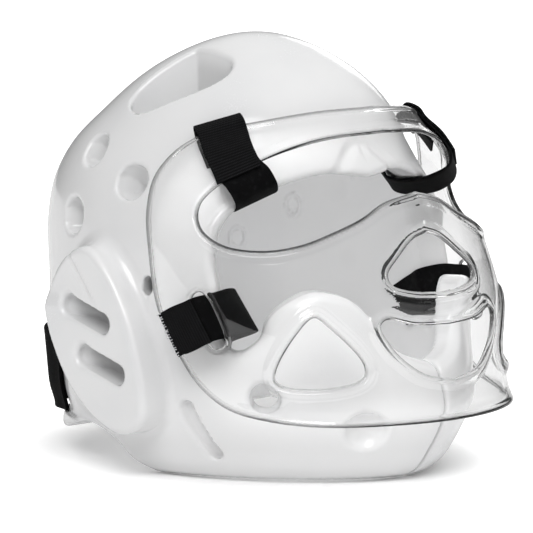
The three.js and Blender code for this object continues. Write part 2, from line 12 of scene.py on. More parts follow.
import bpy
import numpy as np
import openvdb
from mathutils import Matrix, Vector

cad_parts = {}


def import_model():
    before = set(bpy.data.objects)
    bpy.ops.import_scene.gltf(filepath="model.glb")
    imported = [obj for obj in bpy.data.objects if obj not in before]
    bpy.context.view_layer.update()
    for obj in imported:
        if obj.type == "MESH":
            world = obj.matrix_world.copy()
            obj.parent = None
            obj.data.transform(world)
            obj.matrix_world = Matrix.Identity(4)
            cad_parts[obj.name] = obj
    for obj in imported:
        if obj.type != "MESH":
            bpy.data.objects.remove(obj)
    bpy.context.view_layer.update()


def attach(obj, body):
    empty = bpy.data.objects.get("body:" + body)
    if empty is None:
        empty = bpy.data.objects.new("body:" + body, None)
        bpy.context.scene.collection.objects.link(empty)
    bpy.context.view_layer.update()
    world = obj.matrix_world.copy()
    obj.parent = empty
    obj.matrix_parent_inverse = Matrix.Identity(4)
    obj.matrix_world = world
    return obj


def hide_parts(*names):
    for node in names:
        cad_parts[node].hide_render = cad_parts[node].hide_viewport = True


LOG = logging.getLogger("headgear")
MM = 0.001
SET_BACK = 30.0  # the head's upright line lies this far behind the middle of the whole, in mm
SHIELD_ROOM = 3.0  # what a strap's layers leave free between them for the shield, in mm
Array = np.ndarray


# ---------------------------------------------------------------------------- number helpers


def round_max(a: Array, b: Array, radius: float) -> Array:
    """What is inside both of two fields, with its edge rounded.

    Args:
        a: First field, in mm.
        b: Second field, in mm.
        radius: The edge's radius, in mm.

    Returns:
        The field of the common part.
    """
    over = np.hypot(np.maximum(a + radius, 0.0), np.maximum(b + radius, 0.0))
    return np.minimum(np.maximum(a, b), -radius) + over


def round_min(a: Array, b: Array, radius: float) -> Array:
    """What is inside either of two fields, with the corner between them filleted."""
    return -round_max(-a, -b, radius)


def ease(value: Array, low: float, high: float) -> Array:
    """A smooth step from 0 at low to 1 at high."""
    share = np.clip((value - low) / (high - low), 0.0, 1.0)
    return share * share * (3.0 - 2.0 * share)


def curve_through(points: Sequence[Sequence[float]], samples: int, closed: bool) -> Array:
    """A smooth curve through a few points, sampled evenly in its parameter.

    Args:
        points: The points that the curve passes, in order.
        samples: How many places to return.
        closed: Whether the curve runs back to its first point.

    Returns:
        An array of places, one row each.
    """
    given = np.asarray(points, dtype=float)
    count = len(given)
    if closed:
        given = np.vstack([given[-1], given, given[:2]])
        spans = count
    else:
        first = 2.0 * given[0] - given[1]
        last = 2.0 * given[-1] - given[-2]
        given = np.vstack([first, given, last])
        spans = count - 1
    knots = np.concatenate([[0.0], np.cumsum(np.linalg.norm(np.diff(given, axis=0), axis=1) ** 0.5)])
    stops = np.linspace(knots[1], knots[1 + spans], samples, endpoint=not closed)
    slopes = np.gradient(given, knots, axis=0)
    span = np.clip(np.searchsorted(knots, stops, side="right") - 1, 1, spans)
    width = (knots[span + 1] - knots[span])[:, None]
    share = ((stops - knots[span]) / width[:, 0])[:, None]
    start, end = given[span], given[span + 1]
    rise, fall = slopes[span] * width, slopes[span + 1] * width
    square, cube = share**2, share**3
    return (
        (2 * cube - 3 * square + 1) * start
        + (cube - 2 * square + share) * rise
        + (3 * square - 2 * cube) * end
        + (cube - square) * fall
    )


def outward_at(turn: float) -> Array:
    """The level unit direction at a turn round the head.

    Args:
        turn: Degrees from the front, towards the left.

    Returns:
        The direction.
    """
    angle = math.radians(turn)
    direction = np.array([math.sin(angle), -math.cos(angle), 0.0])
    return direction / np.linalg.norm(direction)


# ---------------------------------------------------------------------------- sections and outlines


class SectionRow(NamedTuple):
    """One level section, in mm: how far it reaches, its widest line and its squareness."""

    z: float
    half: float
    front: float
    back: float
    middle: float
    square: float


@dataclass
class Sections:
    """A rounded form through level sections, as a field of distance.

    Attributes:
        rows: The sections from the lowest to the highest.
        step: The height between the entries of the smoothed table, in mm.
    """

    rows: Sequence[SectionRow]
    step: float = 0.5
    heights: Array = field(init=False)
    table: Array = field(init=False)
    slopes: Array = field(init=False)

    def __post_init__(self) -> None:
        """Smooths the rows into a fine table, which runs on a little past the top."""
        rows = np.array(self.rows)
        z, half, front, back, middle, square = rows.T
        columns = np.stack([half**2, (front + middle) ** 2, (back - middle) ** 2, middle, square])
        tangents = np.gradient(columns, z, axis=1)
        self.heights = np.arange(z[0], z[-1] + 60.0, self.step)
        span = np.clip(np.searchsorted(z, self.heights, side="right") - 1, 0, len(z) - 2)
        width = z[span + 1] - z[span]
        share = (self.heights - z[span]) / width
        inside = np.clip(share, 0.0, 1.0)
        square2, cube = inside**2, inside**3
        table = (
            (2 * cube - 3 * square2 + 1) * columns[:, span]
            + (cube - 2 * square2 + inside) * tangents[:, span] * width
            + (3 * square2 - 2 * cube) * columns[:, span + 1]
            + (cube - square2) * tangents[:, span + 1] * width
        )
        beyond = np.clip(self.heights - z[-1], 0.0, None)
        table[:3] += tangents[:3, -1:] * beyond
        self.table = table
        self.slopes = np.gradient(table, self.step, axis=1)

    def distance(self, x: Array, y: Array, z: Array) -> Array:
        """How far places lie outside the form, about true near its skin.

        Args:
            x: Across, in mm.
            y: Front to back, in mm.
            z: Height, in mm.

        Returns:
            The signed distance, below zero inside.
        """
        look = [np.interp(z, self.heights, column) for column in self.table]
        rise = [np.interp(z, self.heights, column) for column in self.slopes[:3]]
        half2, front2, back2, middle, square = look
        dy = y - middle
        ahead = dy < 0.0
        reach2 = np.where(ahead, front2, back2)
        reach_rise = np.where(ahead, rise[1], rise[2])
        power = np.where(ahead, square, 2.0)
        half2c = np.maximum(half2, 1.0)
        reach2c = np.maximum(reach2, 1.0)
        a = np.abs(x) / np.sqrt(half2c) + 1e-6
        b = np.abs(dy) / np.sqrt(reach2c) + 1e-6
        ap, bp = a**power, b**power
        total = ap + bp
        q = total ** (1.0 / power)
        outer = q / total
        qx = outer * ap / a / np.sqrt(half2c)
        qy = outer * bp / b / np.sqrt(reach2c)
        qz = -outer * (ap * rise[0] / half2c + bp * reach_rise / reach2c) / 2.0
        value = q * q * half2c - half2
        dz = np.where(half2 > 1.0, 2.0 * q * qz * half2c + (q * q - 1.0) * rise[0], -rise[0])
        dx, dyy = 2.0 * q * half2c * qx, 2.0 * q * half2c * qy
        return value / np.sqrt(dx * dx + dyy * dyy + dz * dz + 1e-6)

    def reaches(self, starts: Array, directions: Array) -> Array:
        """How far rays from inside run before they leave the skin.

        Args:
            starts: Places inside, one row each, in mm.
            directions: Unit directions, one row each.

        Returns:
            The distances along the rays, in mm.
        """
        near, far = np.zeros(len(starts)), np.full(len(starts), 300.0)
        for _ in range(32):
            middle = (near + far) / 2.0
            inside = self.distance(*(starts + directions * middle[:, None]).T) < 0.0
            near, far = np.where(inside, middle, near), np.where(inside, far, middle)
        return near

    def reach(self, start: Array, direction: Array) -> float:
        """How far one ray from inside runs before it leaves the skin, in mm."""
        return float(self.reaches(start[None], direction[None])[0])


HELMET = Sections(
    (
        SectionRow(-14, 78, 112, 72, -10, 1.7),
        SectionRow(0, 94, 138, 92, -10, 1.7),
        SectionRow(4, 99, 145, 98, -10, 1.7),
        SectionRow(20, 107, 159, 106, -10, 1.72),
        SectionRow(26, 109, 163, 101, -10, 1.74),
        SectionRow(43, 112, 170, 106, -10, 1.76),
        SectionRow(60, 112, 167, 111, -10, 1.84),
        SectionRow(78, 112, 160, 117, -10, 1.98),
        SectionRow(86, 112, 157, 121, -10, 2.05),
        SectionRow(115, 112, 148, 124, -8, 2.4),
        SectionRow(145, 111, 134, 124, -4, 2.35),
        SectionRow(173, 106, 114, 115, 0, 2.1),
        SectionRow(191, 98, 103, 103, -2, 2.05),
        SectionRow(212, 83, 97, 80, -9, 2),
        SectionRow(233, 61, 79, 54, -11, 2),
        SectionRow(247, 40, 54, 27, -13, 2),
        SectionRow(254, 21.5, 35, 7, -14, 2),
        SectionRow(257, 0, 15, -15, -15, 2),
    )
)
HOLLOW = Sections(
    (
        SectionRow(-20, 84, 122, 80, -10, 1.85),
        SectionRow(20, 90, 141, 90, -10, 1.88),
        SectionRow(43, 93, 151, 95, -10, 1.9),
        SectionRow(86, 93, 138, 109, -10, 2.2),
        SectionRow(115, 92, 128, 111, -8, 2.4),
        SectionRow(145, 91, 115, 111, -4, 2.35),
        SectionRow(173, 85, 93, 101, 0, 2.1),
        SectionRow(191, 77, 82, 89, -2, 2.05),
        SectionRow(212, 61, 74, 61, -9, 2),
        SectionRow(227, 39, 53, 33, -12, 2),
        SectionRow(236, 0, 15, -15, -15, 2),
    )
)
SHIELD = Sections(
    (
        SectionRow(30, 114, 188, 60, -70, 2.05),
        SectionRow(44, 112, 182, 60, -70, 2.05),
        SectionRow(54, 113, 178, 60, -68, 2.05),
        SectionRow(70, 116, 175, 60, -64, 2.05),
        SectionRow(100, 118.5, 170, 60, -58, 2.06),
        SectionRow(130, 119, 158, 60, -46, 2.06),
        SectionRow(160, 118, 144.5, 60, -28, 2.05),
        SectionRow(182, 117, 131, 60, -6, 2.1),
        SectionRow(193, 112, 125, 60, 0, 2.1),
        SectionRow(203, 101, 119, 60, 0, 2.05),
        SectionRow(218, 91, 111, 60, 0, 2),
    )
)


@dataclass
class Stencil:
    """A closed flat outline, with the distance from it kept in a fine table.

    Attributes:
        runs: Smooth runs of points, one after another; where two runs meet, the outline turns a crisp corner.
        stretch: What the first coordinate is multiplied by to be in mm.
        mirrored: Whether the one run starts and ends on the centre line and is completed on its far side.
        margin: How far round the outline the table reaches, in mm.
        step: The table's spacing, in mm.
    """

    runs: Sequence[Sequence[tuple[float, float]]]
    stretch: float = 1.0
    mirrored: bool = False
    margin: float = 26.0
    step: float = 0.7
    corner: Array = field(init=False)
    table: Array = field(init=False)

    def __post_init__(self) -> None:
        """Draws the outline and fills the table."""
        edge = self.drawn() * np.array([self.stretch, 1.0])
        low, high = edge.min(axis=0) - self.margin, edge.max(axis=0) + self.margin
        if self.mirrored:
            high[0] = 6.0
        self.corner = low
        columns = np.arange(low[0], high[0] + self.step, self.step)
        rows = np.arange(low[1], high[1] + self.step, self.step)
        px, py = np.meshgrid(columns, rows, indexing="ij")
        self.table = self.exact(px.ravel(), py.ravel(), edge).reshape(px.shape)

    def drawn(self) -> Array:
        """Samples the outline.

        Returns:
            The outline's places, in its own coordinates.
        """
        if self.mirrored:
            edge = curve_through(self.runs[0], 90, closed=False)
            return np.vstack([edge, (edge[::-1] * np.array([-1.0, 1.0]))[1:-1]])
        if len(self.runs) == 1 and self.runs[0][0] != self.runs[0][-1]:
            return curve_through(self.runs[0], 110, closed=True)
        return np.vstack([curve_through(run, 50, closed=False)[:-1] for run in self.runs])

    @staticmethod
    def exact(px: Array, py: Array, edge: Array) -> Array:
        """The signed distance of flat places from a closed line of points.

        Args:
            px: First coordinates, in mm.
            py: Second coordinates, in mm.
            edge: The line's points.

        Returns:
            The distances, below zero inside.
        """
        nearest = np.full(px.shape, np.inf)
        inside = np.zeros(px.shape, dtype=bool)
        for (ax, ay), (bx, by) in zip(edge, np.roll(edge, -1, axis=0)):
            ex, ey = bx - ax, by - ay
            share = np.clip(((px - ax) * ex + (py - ay) * ey) / (ex * ex + ey * ey + 1e-12), 0.0, 1.0)
            nearest = np.minimum(nearest, (px - ax - share * ex) ** 2 + (py - ay - share * ey) ** 2)
            if ay != by:
                inside ^= ((ay > py) != (by > py)) & (px < ax + (py - ay) * ex / ey)
        return np.where(inside, -1.0, 1.0) * np.sqrt(nearest)

    def distance(self, first: Array, second: Array) -> Array:
        """How far flat places lie outside the outline.

        Args:
            first: First coordinates, in mm.
            second: Second coordinates, in mm.

        Returns:
            The signed distance, below zero inside.
        """
        column = (first - self.corner[0]) / self.step
        row = (second - self.corner[1]) / self.step
        inner_column = np.clip(column, 0.0, self.table.shape[0] - 1.001)
        inner_row = np.clip(row, 0.0, self.table.shape[1] - 1.001)
        i, j = inner_column.astype(np.int32), inner_row.astype(np.int32)
        u, v = inner_column - i, inner_row - j
        near = self.table[i, j] * (1 - u) + self.table[i + 1, j] * u
        far = self.table[i, j + 1] * (1 - u) + self.table[i + 1, j + 1] * u
        beyond = np.hypot(column - inner_column, row - inner_row) * self.step
        return near * (1 - v) + far * v + beyond


@dataclass
class Wrap:
    """How a flat drawing is wrapped round an upright line, on both sides of the head alike.

    Attributes:
        axis_y: Where the upright line stands, in mm.
        radius: How far from it the drawing is true to scale, in mm.
    """

    axis_y: float
    radius: float

    @property
    def per_degree(self) -> float:
        """How many mm one degree is, at the drawing's radius."""
        return self.radius * math.pi / 180.0

    def stencil(self, runs: Sequence[Sequence[tuple[float, float]]], mirrored: bool = False) -> Stencil:
        """An outline drawn in degrees from the front and height."""
        return Stencil(runs, stretch=self.per_degree, mirrored=mirrored)

    def flat(self, x: Array, y: Array) -> Array:
        """The drawing's first coordinate at a place: below zero away from the centre line."""
        return -np.degrees(np.arctan2(np.abs(x), self.axis_y - y)) * self.per_degree


# ---------------------------------------------------------------------------- meshes


Field = Callable[[Array, Array, Array], Array]


@dataclass
class SkinMaker:
    """Lays a mesh on the zero skin of a field that is the same on both sides of the head.

    Attributes:
        low: The lowest corner of the space that is searched, in mm, with x below zero.
        high: The highest corner; its x is where the mirror plane lies, at zero.
        voxel: The mesh's rough edge length, in mm.
    """

    low: tuple[float, float, float]
    high: tuple[float, float, float]
    voxel: float

    def make(self, name: str, measure: Field) -> bpy.types.Object:
        """Builds the mesh and draws its vertices exactly onto the skin.

        Args:
            name: The new object's name.
            measure: The field, in mm.

        Returns:
            The new object, in metres.
        """
        axes = [
            np.arange(first, last + self.voxel, self.voxel, dtype=np.float32)
            for first, last in zip(self.low, self.high)
        ]
        axes[0] = -np.arange(0.0, -self.low[0] + self.voxel, self.voxel, dtype=np.float32)[::-1]
        x, y, z = np.meshgrid(*axes, indexing="ij")
        values = measure(x, y, z).astype(np.float32)
        values = np.concatenate([values, values[-2::-1]], axis=0)
        band = 3.0 * self.voxel
        grid = openvdb.FloatGrid(band)
        grid.copyFromArray(np.clip(values, -band, band))
        points, quads = grid.convertToQuads()
        origin = np.array([axes[0][0], axes[1][0], axes[2][0]])
        places = points.astype(float) * self.voxel + origin
        for _ in range(3):
            places = self.settle(places, measure)
        mesh = bpy.data.meshes.new(name)
        metres = (places + np.array([0.0, SET_BACK, 0.0])) * MM
        mesh.from_pydata(metres.tolist(), [], quads.tolist())
        mesh.update()
        piece = bpy.data.objects.new(name, mesh)
        bpy.context.collection.objects.link(piece)
        return piece

    def settle(self, places: Array, measure: Field) -> Array:
        """Moves places along the field's slope onto its zero skin.

        Args:
            places: The places, one row each, in mm.
            measure: The field, in mm.

        Returns:
            The moved places.
        """
        nudge = 0.25
        here = measure(*places.T)
        slope = np.stack(
            [
                (measure(*(places + nudge * axis).T) - measure(*(places - nudge * axis).T)) / (2.0 * nudge)
                for axis in np.eye(3)
            ],
            axis=1,
        )
        size = np.sum(slope * slope, axis=1)
        step = slope * (here / np.maximum(size, 0.2))[:, None]
        length = np.linalg.norm(step, axis=1)
        limit = 0.6 * self.voxel
        return places - step * np.minimum(1.0, limit / np.maximum(length, 1e-9))[:, None]


def own_places(mesh: bpy.types.Mesh) -> Array:
    """A mesh's vertices about the head's own upright line.

    Args:
        mesh: The mesh, in metres, in the row frame.

    Returns:
        The places, one row each, in mm.
    """
    places = np.empty(len(mesh.vertices) * 3, dtype=np.float32)
    mesh.vertices.foreach_get("co", places)
    return places.reshape(-1, 3).astype(float) / MM - np.array([0.0, SET_BACK, 0.0])


def note_shares(mesh: bpy.types.Mesh, name: str, shares: Array) -> None:
    """Writes one number a vertex onto a mesh, for its material to read.

    Args:
        mesh: The mesh.
        name: The attribute's name.
        shares: The numbers, from 0 to 1.
    """
    layer = mesh.attributes.new(name, "FLOAT", "POINT")
    layer.data.foreach_set("value", shares.astype(np.float32))


def shell_normals(mesh: bpy.types.Mesh, measure: Field) -> None:
    """Gives a mesh the exact normals of the field that it lies on.

    Args:
        mesh: The mesh, in metres, in the row frame.
        measure: The field, in mm.
    """
    places = own_places(mesh)
    nudge = 0.3
    slope = np.stack(
        [measure(*(places + nudge * axis).T) - measure(*(places - nudge * axis).T) for axis in np.eye(3)],
        axis=1,
    )
    slope /= np.maximum(np.linalg.norm(slope, axis=1), 1e-9)[:, None]
    mesh.shade_smooth()
    mesh.normals_split_custom_set_from_vertices(slope.tolist())


# ---------------------------------------------------------------------------- node painting


class Reading:
    """A number that changes over a surface, with arithmetic that adds the nodes it needs."""

    def __init__(self, painter: "Painter", socket: bpy.types.NodeSocket) -> None:
        """Wraps a socket of a painter's node tree."""
        self.painter = painter
        self.socket = socket

    def _math(self, operation: str, first: "Number", second: "Number" = 0.0) -> "Reading":
        """Adds one Math node and returns what it gives."""
        node = self.painter.add("ShaderNodeMath", {"operation": operation}, {0: first, 1: second})
        return Reading(self.painter, node.outputs[0])

    def __add__(self, other: "Number") -> "Reading":
        """This number plus another."""
        return self._math("ADD", self, other)

    def __radd__(self, other: "Number") -> "Reading":
        """Another number plus this one."""
        return self._math("ADD", other, self)

    def __sub__(self, other: "Number") -> "Reading":
        """This number less another."""
        return self._math("SUBTRACT", self, other)

    def __rsub__(self, other: "Number") -> "Reading":
        """Another number less this one."""
        return self._math("SUBTRACT", other, self)

    def __mul__(self, other: "Number") -> "Reading":
        """This number times another."""
        return self._math("MULTIPLY", self, other)

    def __rmul__(self, other: "Number") -> "Reading":
        """Another number times this one."""
        return self._math("MULTIPLY", other, self)

    def __pow__(self, other: "Number") -> "Reading":
        """This number to a power."""
        return self._math("POWER", self, other)

    def above(self, edge: "Number") -> "Reading":
        """1 where this number is over an edge, 0 elsewhere."""
        return self._math("GREATER_THAN", self, edge)

    def fraction(self) -> "Reading":
        """The part after the decimal point."""
        return self._math("FRACT", self)

    def size(self) -> "Reading":
        """This number without its sign."""
        return self._math("ABSOLUTE", self)

    def held(self, low: float, high: float) -> "Reading":
        """This number kept within limits, spread over 0 to 1."""
        node = self.painter.add(
            "ShaderNodeMapRange",
            {"interpolation_type": "SMOOTHSTEP"},
            {"Value": self, "From Min": low, "From Max": high},
        )
        return Reading(self.painter, node.outputs[0])


Number = Union[Reading, float]
Colour = tuple[float, float, float]


class Painter:
    """Builds one material's nodes round a Principled shader."""

    def __init__(self, name: str) -> None:
        """Starts a material with an empty tree and one Principled shader.

        Args:
            name: The material's name.
        """
        self.material = bpy.data.materials.new(name)
        self.material.use_nodes = True
        self.tree = self.material.node_tree
        self.tree.nodes.clear()
        self.shader = self.add("ShaderNodeBsdfPrincipled", {}, {})
        self.output = self.add("ShaderNodeOutputMaterial", {}, {"Surface": self.shader.outputs[0]})

    def add(self, kind: str, settings: dict[str, object], inputs: dict[object, object]) -> bpy.types.Node:
        """Adds a node, with its settings made before its sockets are filled.

        Args:
            kind: The node's type.
            settings: Its properties by name.
            inputs: A value, a Reading or a socket for each input, by name or number.

        Returns:
            The new node.
        """
        node = self.tree.nodes.new(kind)
        for name, value in settings.items():
            setattr(node, name, value)
        for key, value in inputs.items():
            socket = node.inputs[key]
            if isinstance(value, Reading):
                self.tree.links.new(value.socket, socket)
            elif isinstance(value, bpy.types.NodeSocket):
                self.tree.links.new(value, socket)
            else:
                socket.default_value = value
        return node

    def noise(self, scale: float, detail: float) -> Reading:
        """Cloudy variation from 0 to 1, in the object's own coordinates.

        Args:
            scale: How many clouds there are in a metre.
            detail: How fine they are broken up.

        Returns:
            The noise as a reading.
        """
        source = self.add("ShaderNodeTexCoord", {}, {})
        vector = source.outputs["Object"]
        node = self.add("ShaderNodeTexNoise", {}, {"Vector": vector, "Scale": scale, "Detail": detail})
        return Reading(self, node.outputs[0])

    def along(self, layer: str) -> tuple[Reading, Reading]:
        """The two coordinates of one of the piece's UV maps, in metres.

        Args:
            layer: The map's name.

        Returns:
            The lengthwise and the crosswise reading.
        """
        source = self.add("ShaderNodeUVMap", {"uv_map": layer}, {})
        parts = self.add("ShaderNodeSeparateXYZ", {}, {"Vector": source.outputs[0]})
        return Reading(self, parts.outputs[0]), Reading(self, parts.outputs[1])

    def attribute(self, name: str) -> Reading:
        """A number kept on the mesh."""
        return Reading(self, self.add("ShaderNodeAttribute", {"attribute_name": name}, {}).outputs["Fac"])

    def blend(self, share: Number, first: object, second: object) -> bpy.types.NodeSocket:
        """A mix of two colours.

        Args:
            share: How much of the second shows.
            first: The colour at 0.
            second: The colour at 1.

        Returns:
            The mixed colour's socket.
        """
        full = [(*value, 1.0) if isinstance(value, tuple) else value for value in (first, second)]
        node = self.add("ShaderNodeMix", {"data_type": "RGBA"}, {0: share, 6: full[0], 7: full[1]})
        return node.outputs[2]

    def bump(
        self, height: Reading, depth: float, normal: Union[bpy.types.NodeSocket, None] = None
    ) -> bpy.types.NodeSocket:
        """Relief from a height reading.

        Args:
            height: The height, from 0 to 1.
            depth: How deep the relief is, in metres.
            normal: A normal to start from.

        Returns:
            The normal's socket.
        """
        inputs: dict[object, object] = {"Height": height, "Distance": depth, "Strength": 1.0}
        if normal is not None:
            inputs["Normal"] = normal
        return self.add("ShaderNodeBump", {}, inputs).outputs[0]

    def fill(self, **values: object) -> None:
        """Sets or links the Principled shader's sockets; an underscore stands for a space."""
        for name, value in values.items():
            socket = self.shader.inputs[name.replace("_", " ")]
            if isinstance(value, Reading):
                self.tree.links.new(value.socket, socket)
            elif isinstance(value, bpy.types.NodeSocket):
                self.tree.links.new(value, socket)
            elif isinstance(value, tuple):
                socket.default_value = (*value, 1.0)
            else:
                socket.default_value = value

    def dress(self, piece: bpy.types.Object) -> None:
        """Puts the material on a piece as its only one."""
        piece.data.materials.clear()
        piece.data.materials.append(self.material)


@dataclass(frozen=True)
class DippedVinyl:
    """White vinyl skin over foam: glossy, slightly uneven, with a fine pebble in the gloss."""

    white: Colour = (0.86, 0.86, 0.862)
    shade: Colour = (0.83, 0.832, 0.838)
    # painted shade colour for the insides of the vents, slots and crown vent
    deep: Colour = (0.3, 0.3, 0.302)
    gloss: float = 0.17

    def make(self) -> Painter:
        """Builds the material.

        Returns:
            Its painter.
        """
        paint = Painter("dipped_vinyl")
        clouds = paint.noise(14.0, 3.0)
        pebble = paint.noise(900.0, 2.0)
        waves = paint.noise(55.0, 2.0)
        relief = paint.bump(pebble, 0.00003, paint.bump(waves, 0.0002))
        inside = paint.attribute("inside")
        skin = paint.blend(clouds.held(0.42, 0.68), self.white, self.shade)
        paint.fill(
            # the base colour darkens to the deep grey inside the vents and slots: painted shade
            Base_Color=paint.blend(paint.attribute("painted_recess_shade"), skin, self.deep),
            Roughness=self.gloss + clouds * 0.1 + pebble * 0.06 + inside * 0.35,
            Specular_IOR_Level=0.5,
            Coat_Roughness=0.07,
            Coat_Weight=(1.0 - inside) * 0.45,
            Normal=relief,
        )
        return paint


@dataclass(frozen=True)
class ClearPlastic:
    """Clear moulded plastic that lets light through, a little uneven where it is drawn over the form."""

    tint: Colour = (1.0, 1.0, 1.0)
    # painted dark lines along the cut edges, in place of the dark refraction there
    edge: Colour = (0.03, 0.03, 0.032)
    bend: float = 1.5

    def make(self) -> Painter:
        """Builds the material, whose shadow is as faint as clear plastic's.

        Returns:
            Its painter.
        """
        paint = Painter("clear_plastic")
        drawn = paint.noise(22.0, 1.0)
        haze = paint.noise(160.0, 3.0)
        paint.fill(
            # the base colour darkens along the cut edges: painted dark lines in place of dark refraction
            Base_Color=paint.blend(paint.attribute("painted_dark_edge"), self.tint, self.edge),
            Roughness=0.015 + haze.held(0.55, 0.9) * 0.05,
            IOR=self.bend,
            Transmission_Weight=1.0,
            Normal=paint.bump(drawn, 0.0003),
        )
        rays = paint.add("ShaderNodeLightPath", {}, {})
        clear = paint.add("ShaderNodeBsdfTransparent", {}, {"Color": (0.985, 0.985, 0.985, 1.0)})
        either = paint.add(
            "ShaderNodeMixShader",
            {},
            {0: rays.outputs["Is Shadow Ray"], 1: paint.shader.outputs[0], 2: clear.outputs[0]},
        )
        paint.tree.links.new(either.outputs[0], paint.output.inputs["Surface"])
        return paint


class Weave(Enum):
    """How a webbing's face is made."""

    RIBBED = "ribbed"
    SMOOTH = "smooth"


@dataclass(frozen=True)
class BlackWebbing:
    """Black nylon webbing, with ribs or fine rows across it."""

    weave: Weave
    dark: Colour = (0.0012, 0.0012, 0.0013)
    # the lighter colour: painted highlight on the rib and yarn tops, and the smooth weave's random streaks
    light: Colour = (0.026, 0.026, 0.028)
    rib: float = 0.00175
    yarn: float = 0.00092

    def make(self) -> Painter:
        """Builds the material from the strap's own lengthwise and crosswise coordinates.

        Returns:
            Its painter.
        """
        paint = Painter(f"webbing_{self.weave.value}")
        run, over = paint.along("cloth")
        fibre = paint.noise(2600.0, 2.0)
        streak = paint.noise(300.0, 3.0)
        row = run * (1.0 / self.rib)
        ridge = 1.0 - (row.fraction() * 2.0 - 1.0).size() ** 2.0
        shift = (row * 0.5).fraction().above(0.5) * 0.5
        strand = (over * (1.0 / self.yarn) + shift).fraction()
        cross = 1.0 - (strand * 2.0 - 1.0).size() ** 2.0
        if self.weave is Weave.RIBBED:
            height, depth = ridge * 0.55 + cross * 0.4 + fibre * 0.1, 0.00035
            painted_sheen_and_streaks = (ridge * cross) ** 1.6 * (0.4 + streak * 0.9)
        else:
            fine = (run * (2.4 / self.rib)).fraction()
            rib = 1.0 - (fine * 2.0 - 1.0).size() ** 2.0
            height, depth = rib * 0.5 + streak * 0.5, 0.00018
            painted_sheen_and_streaks = rib * 0.16 + streak.held(0.5, 0.85) * 0.3
        paint.fill(
            # the base colour lightens on the rib and yarn tops: painted highlight; the smooth weave also gets
            # random lighter streaks
            Base_Color=paint.blend(painted_sheen_and_streaks, self.dark, self.light),
            Roughness=0.55 + fibre * 0.25,
            Specular_IOR_Level=0.035,
            Normal=paint.bump(height, depth),
        )
        return paint


@dataclass(frozen=True)
class HookPile:
    """White loops and hooks along a strap's end."""

    white: Colour = (0.86, 0.86, 0.87)

    def make(self) -> Painter:
        """Builds the material.

        Returns:
            Its painter.
        """
        paint = Painter("hook_pile")
        fibre = paint.noise(1800.0, 2.0)
        paint.fill(
            Base_Color=paint.blend(fibre, self.white, (0.6, 0.6, 0.62)),
            Roughness=0.6 + fibre * 0.2,
            Normal=paint.bump(fibre, 0.0002),
        )
        return paint


# ---------------------------------------------------------------------------- foam helmet


@dataclass(frozen=True)
class RoundVent:
    """A round hole that narrows from the outside to the inside.

    Attributes:
        turn: Degrees from the front of its outer end.
        z: Height of its outer end, in mm.
        width: Width of its outer end, in mm.
        inner: Width of its inner end, in mm.
        depth: How deep it goes along its axis, in mm.
        lift: How much its axis looks up.
        sweep: How much its inner end lies further back, as a share of its depth.
        lip: The radius of its rounded outer lip, in mm.
        squeeze: How wide it is as a share of its height.
        shade: How strongly its depth is darkened with painted shade, from 0 to 1.
    """

    turn: float
    z: float
    width: float
    inner: float
    depth: float
    lift: float
    sweep: float
    lip: float
    squeeze: float = 1.0
    shade: float = 0.2


